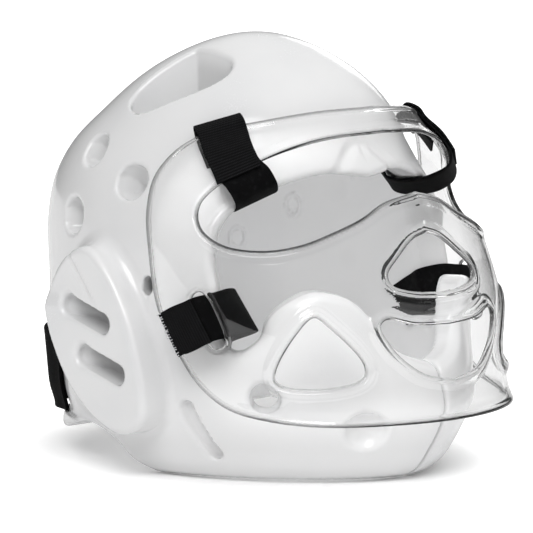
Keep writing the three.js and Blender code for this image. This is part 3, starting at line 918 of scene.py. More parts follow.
@dataclass
class FoamHelmet:
    """The dipped foam helmet with its ear cups, vents, grooves and face opening.

    Its measures are in mm. The split is the cut in the chin, the ledge is the step under the nape band, the
    dimples and rings are marks on the foam, and the collar is the thicker foam round the crown vent.
    """

    head: Wrap = field(default_factory=lambda: Wrap(axis_y=0.0, radius=122.0))
    voxel: float = 1.9
    lip: float = 6.0
    foot: float = 3.4
    cup_face: float = 128.0
    cup_round: float = 4.0
    fold: tuple[float, float, float, float] = (-9.0, 100.7, 0.775, -0.632)
    slot_long: float = 43.0
    slot_wide: float = 12.6
    slot_fall: float = 16.5
    slot_deep: float = 19.0
    slot_rear_deep: float = 7.5
    # painted shade in the ear cup's slots: a little all along, more on their upper side
    slot_painted_shades: tuple[float, float] = (0.1, 0.6)
    slot_places: tuple[tuple[float, float], ...] = ((-1.5, 95.0), (-14.2, 66.5))
    groove_ends: tuple[tuple[float, float], ...] = ((-61.0, 44.0), (-72.0, 17.5))
    groove_half: float = 3.9
    groove_deep: float = 6.5
    nape_half: float = 20.0
    nape_top: float = 72.0
    nape_front: float = 60.0
    ledge_rise: float = 3.4
    split_half: float = 0.9
    split_deep: float = 11.0
    split_top: float = 90.0
    split_back: float = -60.0
    bowl_turn: float = -17.0
    bowl_height: float = 31.0
    bowl_off: float = 5.0
    bowl_round: float = 13.5
    crown_floor: float = 150.0
    # painted shade in the front part of the crown vent
    crown_painted_shade: float = 0.3
    vents: tuple[RoundVent, ...] = (
        RoundVent(-103.6, 188.4, 20.5, 4.0, 48.0, 0.3, 0.235, 2.4, shade=0.3),
        RoundVent(-80.5, 172.7, 21.5, 4.0, 44.0, 0.4, 0.2, 2.4),
        RoundVent(-107.2, 149.5, 21.5, 3.5, 44.0, 0.19, 0.3, 2.4, shade=0.3),
        RoundVent(-71.5, 113.6, 11.4, 5.0, 44.0, 0.1, 0.3, 1.2, squeeze=0.62, shade=1.0),
        RoundVent(-38.0, 51.0, 18.0, 11.0, 34.0, -0.1, 0.0, 4.0),
    )
    dimples: tuple[tuple[float, float, float], ...] = ((-89.0, 4.9, 155.0), (-92.0, -3.7, 109.0))
    dimple_round: float = 20.0
    dimple_deep: float = 2.4
    rings: tuple[tuple[float, float, float], ...] = ((-68.8, 71.0, 120.4), (-84.9, 37.1, 142.7))
    ring_wide: float = 5.0
    ring_thick: float = 1.2
    collar: float = 8.0
    brow_creases: tuple[tuple[float, float, float], ...] = ((-20.0, 1.2, 10.0), (8.0, -0.6, 11.0))
    crease_deep: float = 1.5
    face: Stencil = field(init=False)
    crown: Stencil = field(init=False)
    cup_line: Stencil = field(init=False)

    def __post_init__(self) -> None:
        """Draws the face opening, the crown vent and the ear cup's outline."""
        self.face = self.head.stencil(
            (
                (
                    (0, 174),
                    (-17, 177),
                    (-34, 170),
                    (-44, 161),
                    (-50, 147),
                    (-51, 130),
                    (-49.5, 110),
                    (-49, 84),
                    (-44.5, 78),
                    (-39.5, 85),
                    (-37.5, 97),
                    (-33, 107),
                    (-27, 113),
                    (-20, 110),
                    (-13, 95),
                    (-8, 78),
                    (0, 70),
                ),
            ),
            mirrored=True,
        )
        self.crown = Stencil(
            (
                (
                    (-39, -4),
                    (-40.5, -20),
                    (-43.5, -38),
                    (-51, -42.5),
                    (-62.5, -37),
                    (-74, -23),
                    (-82, -5),
                    (-80, 8),
                    (-72, 16),
                    (-60, 13),
                    (-49, 5),
                    (-39, -4),
                ),
            )
        )
        self.cup_line = Stencil(
            (
                (
                    (36, 99),
                    (33, 84),
                    (26.5, 70),
                    (16, 54),
                    (2.5, 41),
                    (-12, 32),
                    (-28, 27),
                    (-41, 30),
                    (-49, 37),
                    (-51, 48),
                    (-46, 72),
                    (-36.5, 97),
                    (-20, 121.5),
                    (-2, 134.5),
                    (12.5, 131),
                    (27, 118),
                ),
            )
        )

    def cup(self, x: Array, y: Array, z: Array) -> Array:
        """The ear cup as a rounded upright plate that leans back at its top.

        Args:
            x: Across, in mm.
            y: Front to back, in mm.
            z: Height, in mm.

        Returns:
            The signed distance, below zero inside.
        """
        off = (y - self.fold[0]) * self.fold[2] + (z - self.fold[1]) * self.fold[3]
        sunk = 0.06 * np.maximum(off, 0.0) + 1.1 * (1.0 - ease(np.abs(off), 0.0, 3.2))
        face = np.abs(x) - self.cup_face + sunk * ease(z, 96.0, 108.0)
        return round_max(self.cup_line.distance(y, z), face, self.cup_round)

    def slots(self, foam: Array, x: Array, y: Array, z: Array) -> Array:
        """Cuts the ear cup's slanted grooves, crisp at the front and soft at the back.

        Args:
            foam: The field to cut.
            x: Across, in mm.
            y: Front to back, in mm.
            z: Height, in mm.

        Returns:
            The field with its grooves.
        """
        for place in self.slot_places:
            cut, run = self.slot_cut(place, x, y, z)
            foam = round_max(foam, -cut, 1.3 + 2.4 * ease(-run, 6.0, 20.0))
        return foam

    def slot_cut(self, place: tuple[float, float], x: Array, y: Array, z: Array) -> tuple[Array, Array]:
        """One of the ear cup's slanted grooves.

        Args:
            place: The groove's middle: front to back, and height.
            x: Across, in mm.
            y: Front to back, in mm.
            z: Height, in mm.

        Returns:
            The signed distance, below zero inside the groove, and how far forward along it the places lie.
        """
        fall = math.radians(self.slot_fall)
        straight = (self.slot_long - self.slot_wide) / 2.0
        dy, dz = y - place[0], z - place[1]
        run = -dy * math.cos(fall) - dz * math.sin(fall)
        over = -dy * math.sin(fall) + dz * math.cos(fall)
        rim = np.hypot(np.maximum(np.abs(run) - straight, 0.0), over) - self.slot_wide / 2.0
        deep = self.slot_rear_deep + (self.slot_deep - self.slot_rear_deep) * ease(run, -20.0, -4.0)
        return round_max(rim, (self.cup_face - deep) - np.abs(x), 3.0), run

    def groove(self, skin: Array, x: Array, y: Array, z: Array) -> Array:
        """The jaw's short upright groove.

        Args:
            skin: How far the places lie outside the helmet.
            x: Across, in mm.
            y: Front to back, in mm.
            z: Height, in mm.

        Returns:
            The signed distance, below zero inside the groove.
        """
        (top_y, top_z), (low_y, low_z) = self.groove_ends
        line_y, line_z = low_y - top_y, low_z - top_z
        share = np.clip(((y - top_y) * line_y + (z - top_z) * line_z) / (line_y**2 + line_z**2), 0.0, 1.0)
        rim = np.hypot(y - top_y - share * line_y, z - top_z - share * line_z) - self.groove_half
        return round_max(np.maximum(rim, x + 60.0), -self.groove_deep - skin, 3.0)

    def shape(self, x: Array, y: Array, z: Array) -> Array:
        """The whole helmet's field.

        Args:
            x: Across, in mm.
            y: Front to back, in mm.
            z: Height, in mm.

        Returns:
            The signed distance, below zero inside the foam.
        """
        side = -np.abs(x)
        form = HELMET.distance(x, y, z)
        ledge = np.maximum(np.maximum(form - self.ledge_rise, z - 26.5), 25.0 - y)
        skin = round_min(form, ledge, 1.2)
        skin = round_min(skin, self.cup(x, y, z), 4.5 + 5.0 * ease(z, 90.0, 125.0))
        skin = round_max(skin, (self.lower_edge(y) - z) * 0.85, self.foot)
        flat = self.head.flat(x, y)
        crown = self.crown.distance(side, y)
        collar = self.collar * (1.0 - ease(crown, 3.0, 16.0)) * ease(z, 175.0, 200.0)
        inner = -HOLLOW.distance(x, y, z) - collar
        foam = round_max(skin + self.creases(flat, z), inner, self.foot)
        foam = round_max(foam, -self.face.distance(flat, z), self.lip)
        foam = round_max(foam, -np.maximum(crown, self.crown_floor - z), 2.6)
        for vent in self.vents:
            foam = round_max(foam, -self.bore(vent, x, y, z), vent.lip)
        foam = self.slots(foam, x, y, z)
        foam = round_max(foam, -self.groove(form, side, y, z), 1.8)
        foam = round_max(foam, -self.bowl(side, y, z), 2.5)
        for dimple in self.dimples:
            share = 1.0 - (self.dimple_round - self.dimple_deep) / math.hypot(dimple[0], dimple[1])
            dx, dy, dz = side - dimple[0] * share, y - dimple[1] * share, z - dimple[2]
            foam = round_max(foam, self.dimple_round - np.sqrt(dx**2 + dy**2 + dz**2), 1.5)
        for ring in self.rings:
            mark = np.sqrt((side - ring[0]) ** 2 + (y - ring[1]) ** 2 + ((z - ring[2]) * 0.75) ** 2)
            foam = round_min(foam, np.hypot(mark - self.ring_wide, inner) - self.ring_thick, 0.4)
        nape = np.hypot(x, np.maximum(z - (self.nape_top - self.nape_half), 0.0)) - self.nape_half
        foam = round_max(foam, -np.maximum(nape, self.nape_front - y), 6.0)
        split = np.maximum(np.abs(x) - self.split_half, -self.split_deep - skin)
        split = np.maximum(split, y - self.split_back)
        return round_max(foam, -np.maximum(split, z - self.split_top), 2.2)

    def painted_recess_shade(self, x: Array, y: Array, z: Array) -> Array:
        """How much painted shade darkens places deep in the vents, slots and crown vent, from 0 to 1.

        Args:
            x: Across, in mm.
            y: Front to back, in mm.
            z: Height, in mm.

        Returns:
            The shares.
        """
        side = -np.abs(x)
        form = HELMET.distance(x, y, z)
        depth = ease(-form, 1.0, 13.0) * ease(HOLLOW.distance(x, y, z), 0.0, 4.0)
        shares = []
        for vent in self.vents:
            shares.append(vent.shade * depth * (1.0 - ease(np.abs(self.bore(vent, x, y, z)), 1.0, 2.5)))
        front = ease(-y, 4.2, 6.4) * ease(z, 190.0, 215.0)
        near = 1.0 - ease(self.crown.distance(side, y), 1.5, 3.0)
        shares.append(self.crown_painted_shade * ease(-form, 0.5, 12.0) * near * front)
        sunk = ease(self.cup_face - np.abs(x), 1.5, 12.0)
        for place in self.slot_places:
            cut, _ = self.slot_cut(place, x, y, z)
            upper = ease(z - place[1] - (y - place[0]) * 0.3, -7.0, 3.0)
            shade = self.slot_painted_shades[0] + self.slot_painted_shades[1] * upper
            shares.append(sunk * shade * (1.0 - ease(np.abs(cut), 1.0, 2.5)))
        return np.max(shares, axis=0)

    def creases(self, flat: Array, z: Array) -> Array:
        """How far the brow's skin sinks in its broad slanted creases.

        Args:
            flat: Round the head, in mm.
            z: Height, in mm.

        Returns:
            The depths, in mm.
        """
        near = ease(z, 172.0, 178.0) * ease(-z, -200.0, -190.0) * ease(-np.abs(flat), -40.0, -30.0)
        depth = np.zeros(np.shape(flat))
        for place, slant, wide in self.brow_creases:
            off = (flat - place - (z - 184.0) * slant) / wide
            depth = depth + ease(1.0 - np.abs(off), 0.0, 1.0)
        return depth * near * self.crease_deep

    @staticmethod
    def lower_edge(y: Array) -> Array:
        """How high the helmet's lower edge is, from the flat jaw up behind it to the nape.

        Args:
            y: Front to back, in mm.

        Returns:
            The heights, in mm.
        """
        points = ((-26, 0), (-15, 7), (-2, 20), (24, 26), (52, 20), (72, 15), (130, 14))
        line = curve_through(points, 80, closed=False)
        return np.interp(y, line[:, 0], line[:, 1])

    @staticmethod
    def bore(vent: RoundVent, x: Array, y: Array, z: Array) -> Array:
        """The distance from a round vent's wall, on both sides alike.

        Args:
            vent: The vent.
            x: Across, in mm.
            y: Front to back, in mm.
            z: Height, in mm.

        Returns:
            The signed distance, below zero in the hole.
        """
        level = outward_at(vent.turn)
        start = np.array([0.0, 0.0, vent.z])
        middle = start + level * HELMET.reach(start, level)
        axis = level + np.array([0.0, -vent.sweep, vent.lift])
        axis /= np.linalg.norm(axis)
        dx, dy, dz = -np.abs(x) - middle[0], y - middle[1], z - middle[2]
        run = dx * axis[0] + dy * axis[1] + dz * axis[2]
        over = dx * -level[1] + dy * level[0]
        rest = np.maximum(dx * dx + dy * dy + dz * dz - run * run - over * over, 0.0)
        off = np.sqrt(rest + (over / vent.squeeze) ** 2)
        radius = vent.inner / 2.0 + (vent.width - vent.inner) / 2.0 * ease(run, -19.0, -4.0)
        return np.maximum(off - radius, -vent.depth - run)

    def bowl(self, x: Array, y: Array, z: Array) -> Array:
        """The shallow round bowl in the chin beside its split.

        Args:
            x: Across, in mm.
            y: Front to back, in mm.
            z: Height, in mm.

        Returns:
            The signed distance, below zero inside the bowl.
        """
        level = outward_at(self.bowl_turn)
        start = np.array([0.0, 0.0, self.bowl_height])
        middle = start + level * (HELMET.reach(start, level) + self.bowl_off)
        return np.sqrt((x - middle[0]) ** 2 + (y - middle[1]) ** 2 + (z - middle[2]) ** 2) - self.bowl_round

    def build(self) -> bpy.types.Object:
        """Makes the helmet's mesh and dresses it.

        Returns:
            The finished piece.
        """
        voxel = self.voxel
        piece = SkinMaker((-134.0, -180.0, -6.0), (0.0, 132.0, 264.0), voxel).make("helmet_foam", self.shape)
        shell_normals(piece.data, self.shape)
        places = own_places(piece.data).T
        # painted shade deep in the vents, slots and crown vent, read by the base colour
        note_shares(piece.data, "painted_recess_shade", self.painted_recess_shade(*places))
        lining = (1.0 - ease(HOLLOW.distance(*places), 0.3, 3.0)) * ease(-places[2], -208.0, -196.0)
        note_shares(piece.data, "inside", lining)
        DippedVinyl().make().dress(piece)
        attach(piece, "root")
        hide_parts("foam_helmet")
        return piece


# ---------------------------------------------------------------------------- face shield


@dataclass
class FaceShield:
    """The clear moulded shield: brow band, eye opening, mouth vents and cheek sides in one shell."""

    wrap: Wrap = field(default_factory=lambda: Wrap(axis_y=-45.0, radius=112.0))
    voxel: float = 1.02
    wall: float = 2.4
    bead: float = 1.45
    rim_rise: float = 1.6
    rim_rises: tuple[float, ...] = (0.35, 0.5, 0.7, 1.0)
    rim_from: float = 3.5
    rim_to: float = 7.5
    lip_rise: float = 0.5
    bridge: float = 5.5
    outline: Stencil = field(init=False)
    eye: Stencil = field(init=False)
    upper: Stencil = field(init=False)
    lower: Stencil = field(init=False)
    cheek: Stencil = field(init=False)
    slot: Stencil = field(init=False)

    def __post_init__(self) -> None:
        """Draws the shield's outline and its openings."""
        draw = self.wrap.stencil
        self.outline = draw(
            (
                (
                    (0, 216),
                    (-34, 214),
                    (-61, 208.5),
                    (-80, 202),
                    (-88, 186),
                    (-91, 160),
                    (-89.5, 135),
                    (-86, 102),
                    (-78, 75),
                    (-71, 58),
                    (-62, 47),
                    (-50, 42),
                    (-38, 40),
                    (-20, 40),
                    (0, 40),
                ),
            ),
            mirrored=True,
        )
        self.eye = draw(
            (
                (
                    (0, 201),
                    (-27, 199),
                    (-42, 195),
                    (-55, 188),
                    (-67, 176),
                    (-73.5, 163),
                    (-72, 149),
                    (-64, 140),
                    (-53, 138),
                    (-43, 141),
                    (-33, 147.5),
                    (-23, 154.5),
                    (-13, 163),
                    (0, 168),
                ),
            ),
            mirrored=True,
        )
        self.upper = draw(
            (((0, 145), (-5.5, 142), (-13, 132), (-17.5, 123.5), (-16.5, 117), (-10, 113), (0, 111.5)),),
            mirrored=True,
        )
        self.lower = draw(
            (((0, 93.5), (-12, 95), (-20, 99), (-22, 96), (-19.5, 84), (-15, 74), (-9, 66), (0, 62)),),
            mirrored=True,
        )
        self.cheek = draw(
            (((-39.7, 101.5), (-36, 96), (-27, 74), (-28, 66), (-35, 62), (-46, 62), (-49.5, 66), (-44, 93)),)
        )
        self.slot = draw(
            (
                (
                    (-73.6, 111),
                    (-71.3, 114.2),
                    (-69, 111.5),
                    (-63.4, 90),
                    (-63.4, 84.6),
                    (-66.2, 82),
                    (-68.2, 85),
                ),
            )
        )

    def shape(self, x: Array, y: Array, z: Array) -> Array:
        """The shield's field.

        Args:
            x: Across, in mm.
            y: Front to back, in mm.
            z: Height, in mm.

        Returns:
            The signed distance, below zero inside the plastic.
        """
        flat = self.wrap.flat(x, y)
        edge = self.outline.distance(flat, z)
        holes = [opening.distance(flat, z) for opening in (self.eye, self.upper, self.lower, self.cheek)]
        slot = self.slot.distance(flat, z)
        level = np.ones(np.shape(x))
        for hole, rise in zip(holes, self.rim_rises):
            level = level * (1.0 - rise * (1.0 - ease(hole, self.rim_from, self.rim_to)))
        raised = 1.0 - level
        nose = np.exp(-((flat / 22.0) ** 2) - ((z - 163.0) / 16.0) ** 2)
        lip = self.lip_rise * (1.0 - ease(-edge, 3.0, 9.0)) * (1.0 - ease(z, 48.0, 70.0))
        skin = SHIELD.distance(x, y, z) - self.rim_rise * raised - self.bridge * nose - lip
        shell = np.abs(skin + self.wall / 2.0) - self.wall / 2.0
        shell = round_max(shell, edge, 1.2)
        bead = np.hypot(edge + self.bead, skin + self.wall / 2.0) - self.bead
        for hole in [*holes, slot]:
            shell = round_max(shell, -hole, 1.2)
            bead = np.minimum(bead, np.hypot(hole - self.bead, skin + self.wall / 2.0) - self.bead)
        return np.maximum(round_min(shell, bead, 0.8), y + 10.0)

    def painted_dark_edge(self, x: Array, y: Array, z: Array) -> Array:
        """How strongly places near the sheet's cut edges get painted dark lines, in place of dark refraction,
        from 0 to 1.

        Args:
            x: Across, in mm.
            y: Front to back, in mm.
            z: Height, in mm.

        Returns:
            The shares, highest along the eye opening's lower edge.
        """
        flat = self.wrap.flat(x, y)
        eye = self.eye.distance(flat, z)
        near = [1.4 * (1.0 - ease(-self.outline.distance(flat, z), 0.4, 2.0))]
        for hole in (self.upper, self.lower, self.cheek, self.slot):
            near.append(1.0 - ease(hole.distance(flat, z), 0.2, 1.5))
        below = ease(-z, -172.0, -150.0)
        strong = (1.0 - ease(eye, 0.5, 2.0)) * (0.55 + 0.45 * below)
        return np.maximum(np.max(near, axis=0) * 0.55, strong)

    def build(self) -> bpy.types.Object:
        """Makes the shield's mesh and dresses it.

        Returns:
            The finished piece.
        """
        voxel = self.voxel
        piece = SkinMaker((-128.0, -200.0, 32.0), (0.0, -6.0, 222.0), voxel).make("shield_clear", self.shape)
        shell_normals(piece.data, self.shape)
        # where the painted dark lines along the cut edges fall
        note_shares(piece.data, "painted_dark_edge", self.painted_dark_edge(*own_places(piece.data).T))
        ClearPlastic().make().dress(piece)
        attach(piece, "root")
        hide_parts("face_shield")
        return piece


# ---------------------------------------------------------------------------- webbing


class Skin(Enum):
    """Which surface a strap's place is measured from."""

    HOLLOW = "hollow"
    HELMET = "helmet"
    SHIELD = "shield"

    @property
    def sections(self) -> Sections:
        """The sections of that surface."""
        return {"hollow": HOLLOW, "helmet": HELMET, "shield": SHIELD}[self.value]


class Station(NamedTuple):
    """A place on a strap's path.

    Attributes:
        at: How far along the path it is, in mm.
        skin: The surface that the strap follows there.
        off: How far off that surface it lies, in mm.
        skew: How far its crosswise line slants.
        aside: How far it is shifted across, in mm.
    """

    at: float
    skin: Skin
    off: float
    skew: float = 0.0
    aside: float = 0.0


@dataclass
class StrapFrame:
    """The directions of one strap on the right side of the head."""

    along: Array
    outward: Array
    base: Callable[[float], Array]

    @property
    def across(self) -> Array:
        """The direction across the strap."""
        side = np.cross(self.along, self.outward)
        return side / np.linalg.norm(side)

    def edges(self, stations: Sequence[Station], width: float) -> tuple[Array, Array]:
        """The strap's two edges through its stations.

        Args:
            stations: The stations in order.
            width: The strap's width, in mm, which clears the surface all over.

        Returns:
            The places of the edge at the low end of the across direction, and of the other one, in mm.
        """
        low, high = [], []
        for at, skin, off, skew, aside in stations:
            reaches = []
            for part in (-0.5, 0.0, 0.5):
                start = self.base(at) + self.across * aside + (self.across + self.along * skew) * part * width
                reaches.append(skin.sections.reach(start, self.outward))
            first, middle, last = reaches
            sag = middle - (first + last) / 2.0
            spare = max(sag, 0.0) if off > 0 else min(sag, 0.0)
            start = self.base(at) + self.across * aside
            slant = (self.across + self.along * skew) * 0.5 * width
            low.append(start - slant + self.outward * (first + spare + off))
            high.append(start + slant + self.outward * (last + spare + off))
        return np.array(low), np.array(high)


def cloth_grid(name: str, steps: int, rows: int) -> tuple[bpy.types.Object, Array]:
    """Makes a flat grid whose UV map is called cloth.

    Args:
        name: The new object's name.
        steps: How many faces it has lengthwise.
        rows: How many faces it has crosswise.

    Returns:
        The new object, and its vertices from -0.5 to 0.5 each way, one row each.
    """
    bpy.ops.object.select_all(action="DESELECT")
    bpy.ops.mesh.primitive_grid_add(x_subdivisions=steps, y_subdivisions=rows, size=1.0)
    piece = bpy.context.active_object
    piece.name = name
    piece.data.name = name
    piece.data.uv_layers.active.name = "cloth"
    grid = np.empty(len(piece.data.vertices) * 3, dtype=np.float32)
    piece.data.vertices.foreach_get("co", grid)
    return piece, grid.reshape(-1, 3)


def lay_cloth(piece: bpy.types.Object, places: Array, run: Array, over: Array) -> None:
    """Moves a grid's vertices to their places and notes where each one is on the cloth.

    Args:
        piece: The grid.
        places: The places, one row each, in mm.
        run: How far along the cloth each vertex is, in mm.
        over: How far across it each vertex is, in mm.
    """
    mesh = piece.data
    mesh.vertices.foreach_set("co", (places * MM).astype(np.float32).ravel())
    loops = np.empty(len(mesh.loops), dtype=np.int32)
    mesh.loops.foreach_get("vertex_index", loops)
    cloth = np.stack([run[loops], over[loops]], axis=1) * MM
    mesh.uv_layers["cloth"].data.foreach_set("uv", cloth.astype(np.float32).ravel())
    mesh.update()


@dataclass
class Band:
    """A flat band laid along a centre line, with soft selvedges and its own lengthwise coordinates."""

    width: float
    thickness: float
    rows: int = 9
    pitch: float = 1.2
    sway: float = 0.25

    def lay(self, name: str, edges: tuple[Array, Array], mirrored: bool) -> bpy.types.Object:
        """Builds the band.

        Args:
            name: The new object's name.
            edges: The places of its two edges, in mm.
            mirrored: Whether it lies on the left side.

        Returns:
            The new object, in metres.
        """
        first, last = (curve_through(edge, 400, closed=False) for edge in edges)
        dense = (first + last) / 2.0
        length = np.concatenate([[0.0], np.cumsum(np.linalg.norm(np.diff(dense, axis=0), axis=1))])
        steps = max(8, int(round(length[-1] / self.pitch)))
        stops = np.linspace(0.0, length[-1], steps + 1)
        first, last = (
            np.stack([np.interp(stops, length, edge[:, axis]) for axis in range(3)], axis=1)
            for edge in (first, last)
        )
        piece, grid = cloth_grid(name, steps, self.rows)
        near = np.clip(np.rint((grid[:, 0] + 0.5) * steps).astype(int), 0, steps)
        over = grid[:, 1] + 0.5
        share = over + self.sway / self.width * np.sin(stops[near] * 0.21 + 1.3)
        places = first[near] + (last[near] - first[near]) * share[:, None]
        places[:, 0] *= -1.0 if mirrored else 1.0
        places[:, 1] += SET_BACK
        lay_cloth(piece, places, stops[near], over * self.width)
        self.thicken(piece)
        return piece

    def thicken(self, piece: bpy.types.Object) -> None:
        """Gives the band its thickness and rounds its edges.

        Args:
            piece: The flat band.
        """
        solid = piece.modifiers.new("thickness", "SOLIDIFY")
        solid.thickness = self.thickness * MM
        solid.offset = 0.0
        bevel = piece.modifiers.new("selvedge", "BEVEL")
        bevel.width = 0.35 * self.thickness * MM
        bevel.segments = 2
        bevel.limit_method = "ANGLE"
        bevel.angle_limit = math.radians(50.0)
        bpy.context.view_layer.objects.active = piece
        for name in ("thickness", "selvedge"):
            bpy.ops.object.modifier_apply(modifier=name)
        bpy.ops.object.mode_set(mode="EDIT")
        bpy.ops.mesh.select_all(action="SELECT")
        bpy.ops.mesh.normals_make_consistent(inside=False)
        bpy.ops.object.mode_set(mode="OBJECT")
        piece.data.shade_smooth()


@dataclass
class StrapSet:
    """The straps that hold the shield on: over the brow band and through the cheek slots."""

    thickness: float = 1.5
    layer: float = 0.35
    brow_width: float = 27.0
    cheek_width: float = 27.5
    brow_turn: float = -54.0
    brow_roll: float = 18.0
    brow_lean: float = 25.5
    brow_across: float = -32.0
    brow_top: float = 207.0
    brow_skew: float = -0.16
    cheek_turn: float = -78.0
    cheek_rise: float = 24.0
    loops: int = 17
    loop_thick: float = 0.27
    slot_at: float = 65.5
    cheek_skew: float = 0.13
    slot_height: float = 100.0

    def brow_frame(self) -> StrapFrame:
        """The brow strap's directions, which follow the band's slope.

        Returns:
            The frame on the right side.
        """
        level = outward_at(self.brow_turn + 90.0)
        slope = math.tan(math.radians(self.brow_lean))
        along = np.array([0.0, 0.0, 1.0]) - level * slope
        along /= np.linalg.norm(along)
        roll = math.radians(self.brow_roll)
        out = outward_at(self.brow_turn)
        swung = out * math.cos(roll) + np.cross(along, out) * math.sin(roll)
        turned = swung + along * (along @ out) * (1.0 - math.cos(roll))

        def base(z: float) -> Array:
            """The strap's own place at a height, inside the head."""
            place = level * (self.brow_across + (self.brow_top - z) * slope)
            return np.array([place[0], place[1], z])

        return StrapFrame(along, turned, base)

    def cheek_frame(self) -> StrapFrame:
        """The cheek strap's directions.

        Returns:
            The frame on the right side.
        """
        out = outward_at(self.cheek_turn)
        forward = outward_at(self.cheek_turn + 90.0)
        slope = math.tan(math.radians(self.cheek_rise))
        along = forward + np.array([0.0, 0.0, slope])
        along /= np.linalg.norm(along)

        def base(distance: float) -> Array:
            """The strap's own place at a forward distance, inside the head."""
            place = forward * distance
            return np.array([place[0], place[1], self.slot_height + (distance - self.slot_at) * slope])

        return StrapFrame(along, out, base)

    def brow_stations(self) -> list[Station]:
        """The brow strap's route: inside the brow, round its edge, up over the band and down behind it.

        Returns:
            The stations in order.
        """
        over = self.thickness / 2.0 + self.layer
        inside = -(self.thickness / 2.0 + 1.6)
        behind = -(SHIELD_ROOM + over + 0.6)
        return [
            Station(178.0, Skin.HOLLOW, inside),
            Station(166.0, Skin.HOLLOW, inside),
            Station(156.0, Skin.HOLLOW, inside),
            Station(152.0, Skin.HOLLOW, inside),
            Station(149.0, Skin.HOLLOW, 3.0),
            Station(148.4, Skin.HELMET, -5.0),
            Station(149.5, Skin.HELMET, 3.0),
            Station(154.0, Skin.SHIELD, -3.0),
            Station(161.0, Skin.SHIELD, over, 0.0, -1.0),
            Station(168.0, Skin.SHIELD, over + 0.3, self.brow_skew * 0.3, -3.8),
            Station(177.0, Skin.SHIELD, over + 0.4, self.brow_skew * 0.7, -3.5),
            Station(186.0, Skin.SHIELD, over + 0.5, self.brow_skew, -1.3),
            Station(190.0, Skin.SHIELD, over + 0.3, self.brow_skew),
            Station(192.5, Skin.SHIELD, -1.5, self.brow_skew),
            Station(190.0, Skin.SHIELD, behind, self.brow_skew, -0.8),
            Station(183.0, Skin.SHIELD, behind, self.brow_skew, -3.0),
            Station(172.0, Skin.SHIELD, behind, self.brow_skew, -5.0),
        ]

    def brow_tab_stations(self) -> list[Station]:
        """The woven end laid over the brow strap.

        Returns:
            The stations in order.
        """
        step = self.thickness + self.layer
        over = 1.5 * self.thickness + 2.0 * self.layer
        behind = -(SHIELD_ROOM + over + 1.1)
        return [
            Station(183.0, Skin.SHIELD, behind, self.brow_skew, -3.0),
            Station(190.0, Skin.SHIELD, behind, self.brow_skew, -0.8),
            Station(192.7 + step, Skin.SHIELD, -1.5, self.brow_skew, 0.6),
            Station(190.5 + step / 2.0, Skin.SHIELD, over + 0.8, self.brow_skew),
            Station(186.0, Skin.SHIELD, over + 0.9, self.brow_skew, -1.3),
            Station(177.0, Skin.SHIELD, over + 0.9, self.brow_skew * 0.7, -3.3),
            Station(168.0, Skin.SHIELD, over + 0.8, self.brow_skew * 0.3, -4.6),
            Station(164.0, Skin.SHIELD, over + 0.8, self.brow_skew * 0.2, -5.4),
        ]

    def cheek_stations(self) -> list[Station]:
        """The cheek strap's route: inside the cheek, out through the slot and back over the shield.

        Returns:
            The stations in order.
        """
        over = self.thickness / 2.0 + self.layer
        inside = -(self.thickness / 2.0 + 1.4)
        at = self.slot_at
        slant = self.cheek_skew
        return [
            Station(at - 30.0, Skin.HOLLOW, inside, slant),
            Station(at - 12.0, Skin.HOLLOW, inside, slant),
            Station(at - 0.5, Skin.HOLLOW, inside, slant),
            Station(at + 4.5, Skin.HELMET, -9.0, slant),
            Station(at + 3.0, Skin.SHIELD, -11.0, slant),
            Station(at - 0.6, Skin.SHIELD, -1.5, slant),
            Station(at - 3.6, Skin.SHIELD, over + 0.9, slant),
            Station(at - 14.0, Skin.SHIELD, over + 0.2, slant),
            Station(at - 23.0, Skin.SHIELD, over + 0.2, slant),
        ]

    def cheek_tab_stations(self) -> list[Station]:
        """The woven end laid over the cheek strap.

        Returns:
            The stations in order.
        """
        over = 1.5 * self.thickness + 2.0 * self.layer
        at = self.slot_at
        return [
            Station(at - 2.0, Skin.SHIELD, over + 1.6, self.cheek_skew),
            Station(at - 14.0, Skin.SHIELD, over + 1.0, self.cheek_skew),
            Station(at - 26.5, Skin.SHIELD, over + 0.6, self.cheek_skew),
        ]

    def build(self) -> list[bpy.types.Object]:
        """Lays all the straps on both sides.

        Returns:
            The finished pieces.
        """
        ribbed, smooth = BlackWebbing(Weave.RIBBED).make(), BlackWebbing(Weave.SMOOTH).make()
        plan = (
            ("brow_strap", self.brow_frame(), self.brow_stations(), self.brow_width, smooth),
            ("brow_tab", self.brow_frame(), self.brow_tab_stations(), self.brow_width + 0.3, ribbed),
            ("cheek_strap", self.cheek_frame(), self.cheek_stations(), self.cheek_width, smooth),
            ("cheek_tab", self.cheek_frame(), self.cheek_tab_stations(), self.cheek_width, ribbed),
        )
        pieces = []
        for name, frame, stations, width, paint in plan:
            band = Band(width, self.thickness)
            edges = frame.edges(stations, width)
            for side, mirrored in (("right", False), ("left", True)):
                piece = band.lay(f"{name}_{side}_webbing", edges, mirrored)
                paint.dress(piece)
                width * MM
                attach(piece, "root")
                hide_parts(f"{name}_{side}")
                pieces.append(piece)
            if name == "cheek_tab":
                for mirrored in (False, True):
                    pieces.append(self.fringe(edges[0][-1], edges[1][-1], frame, mirrored))
        return pieces

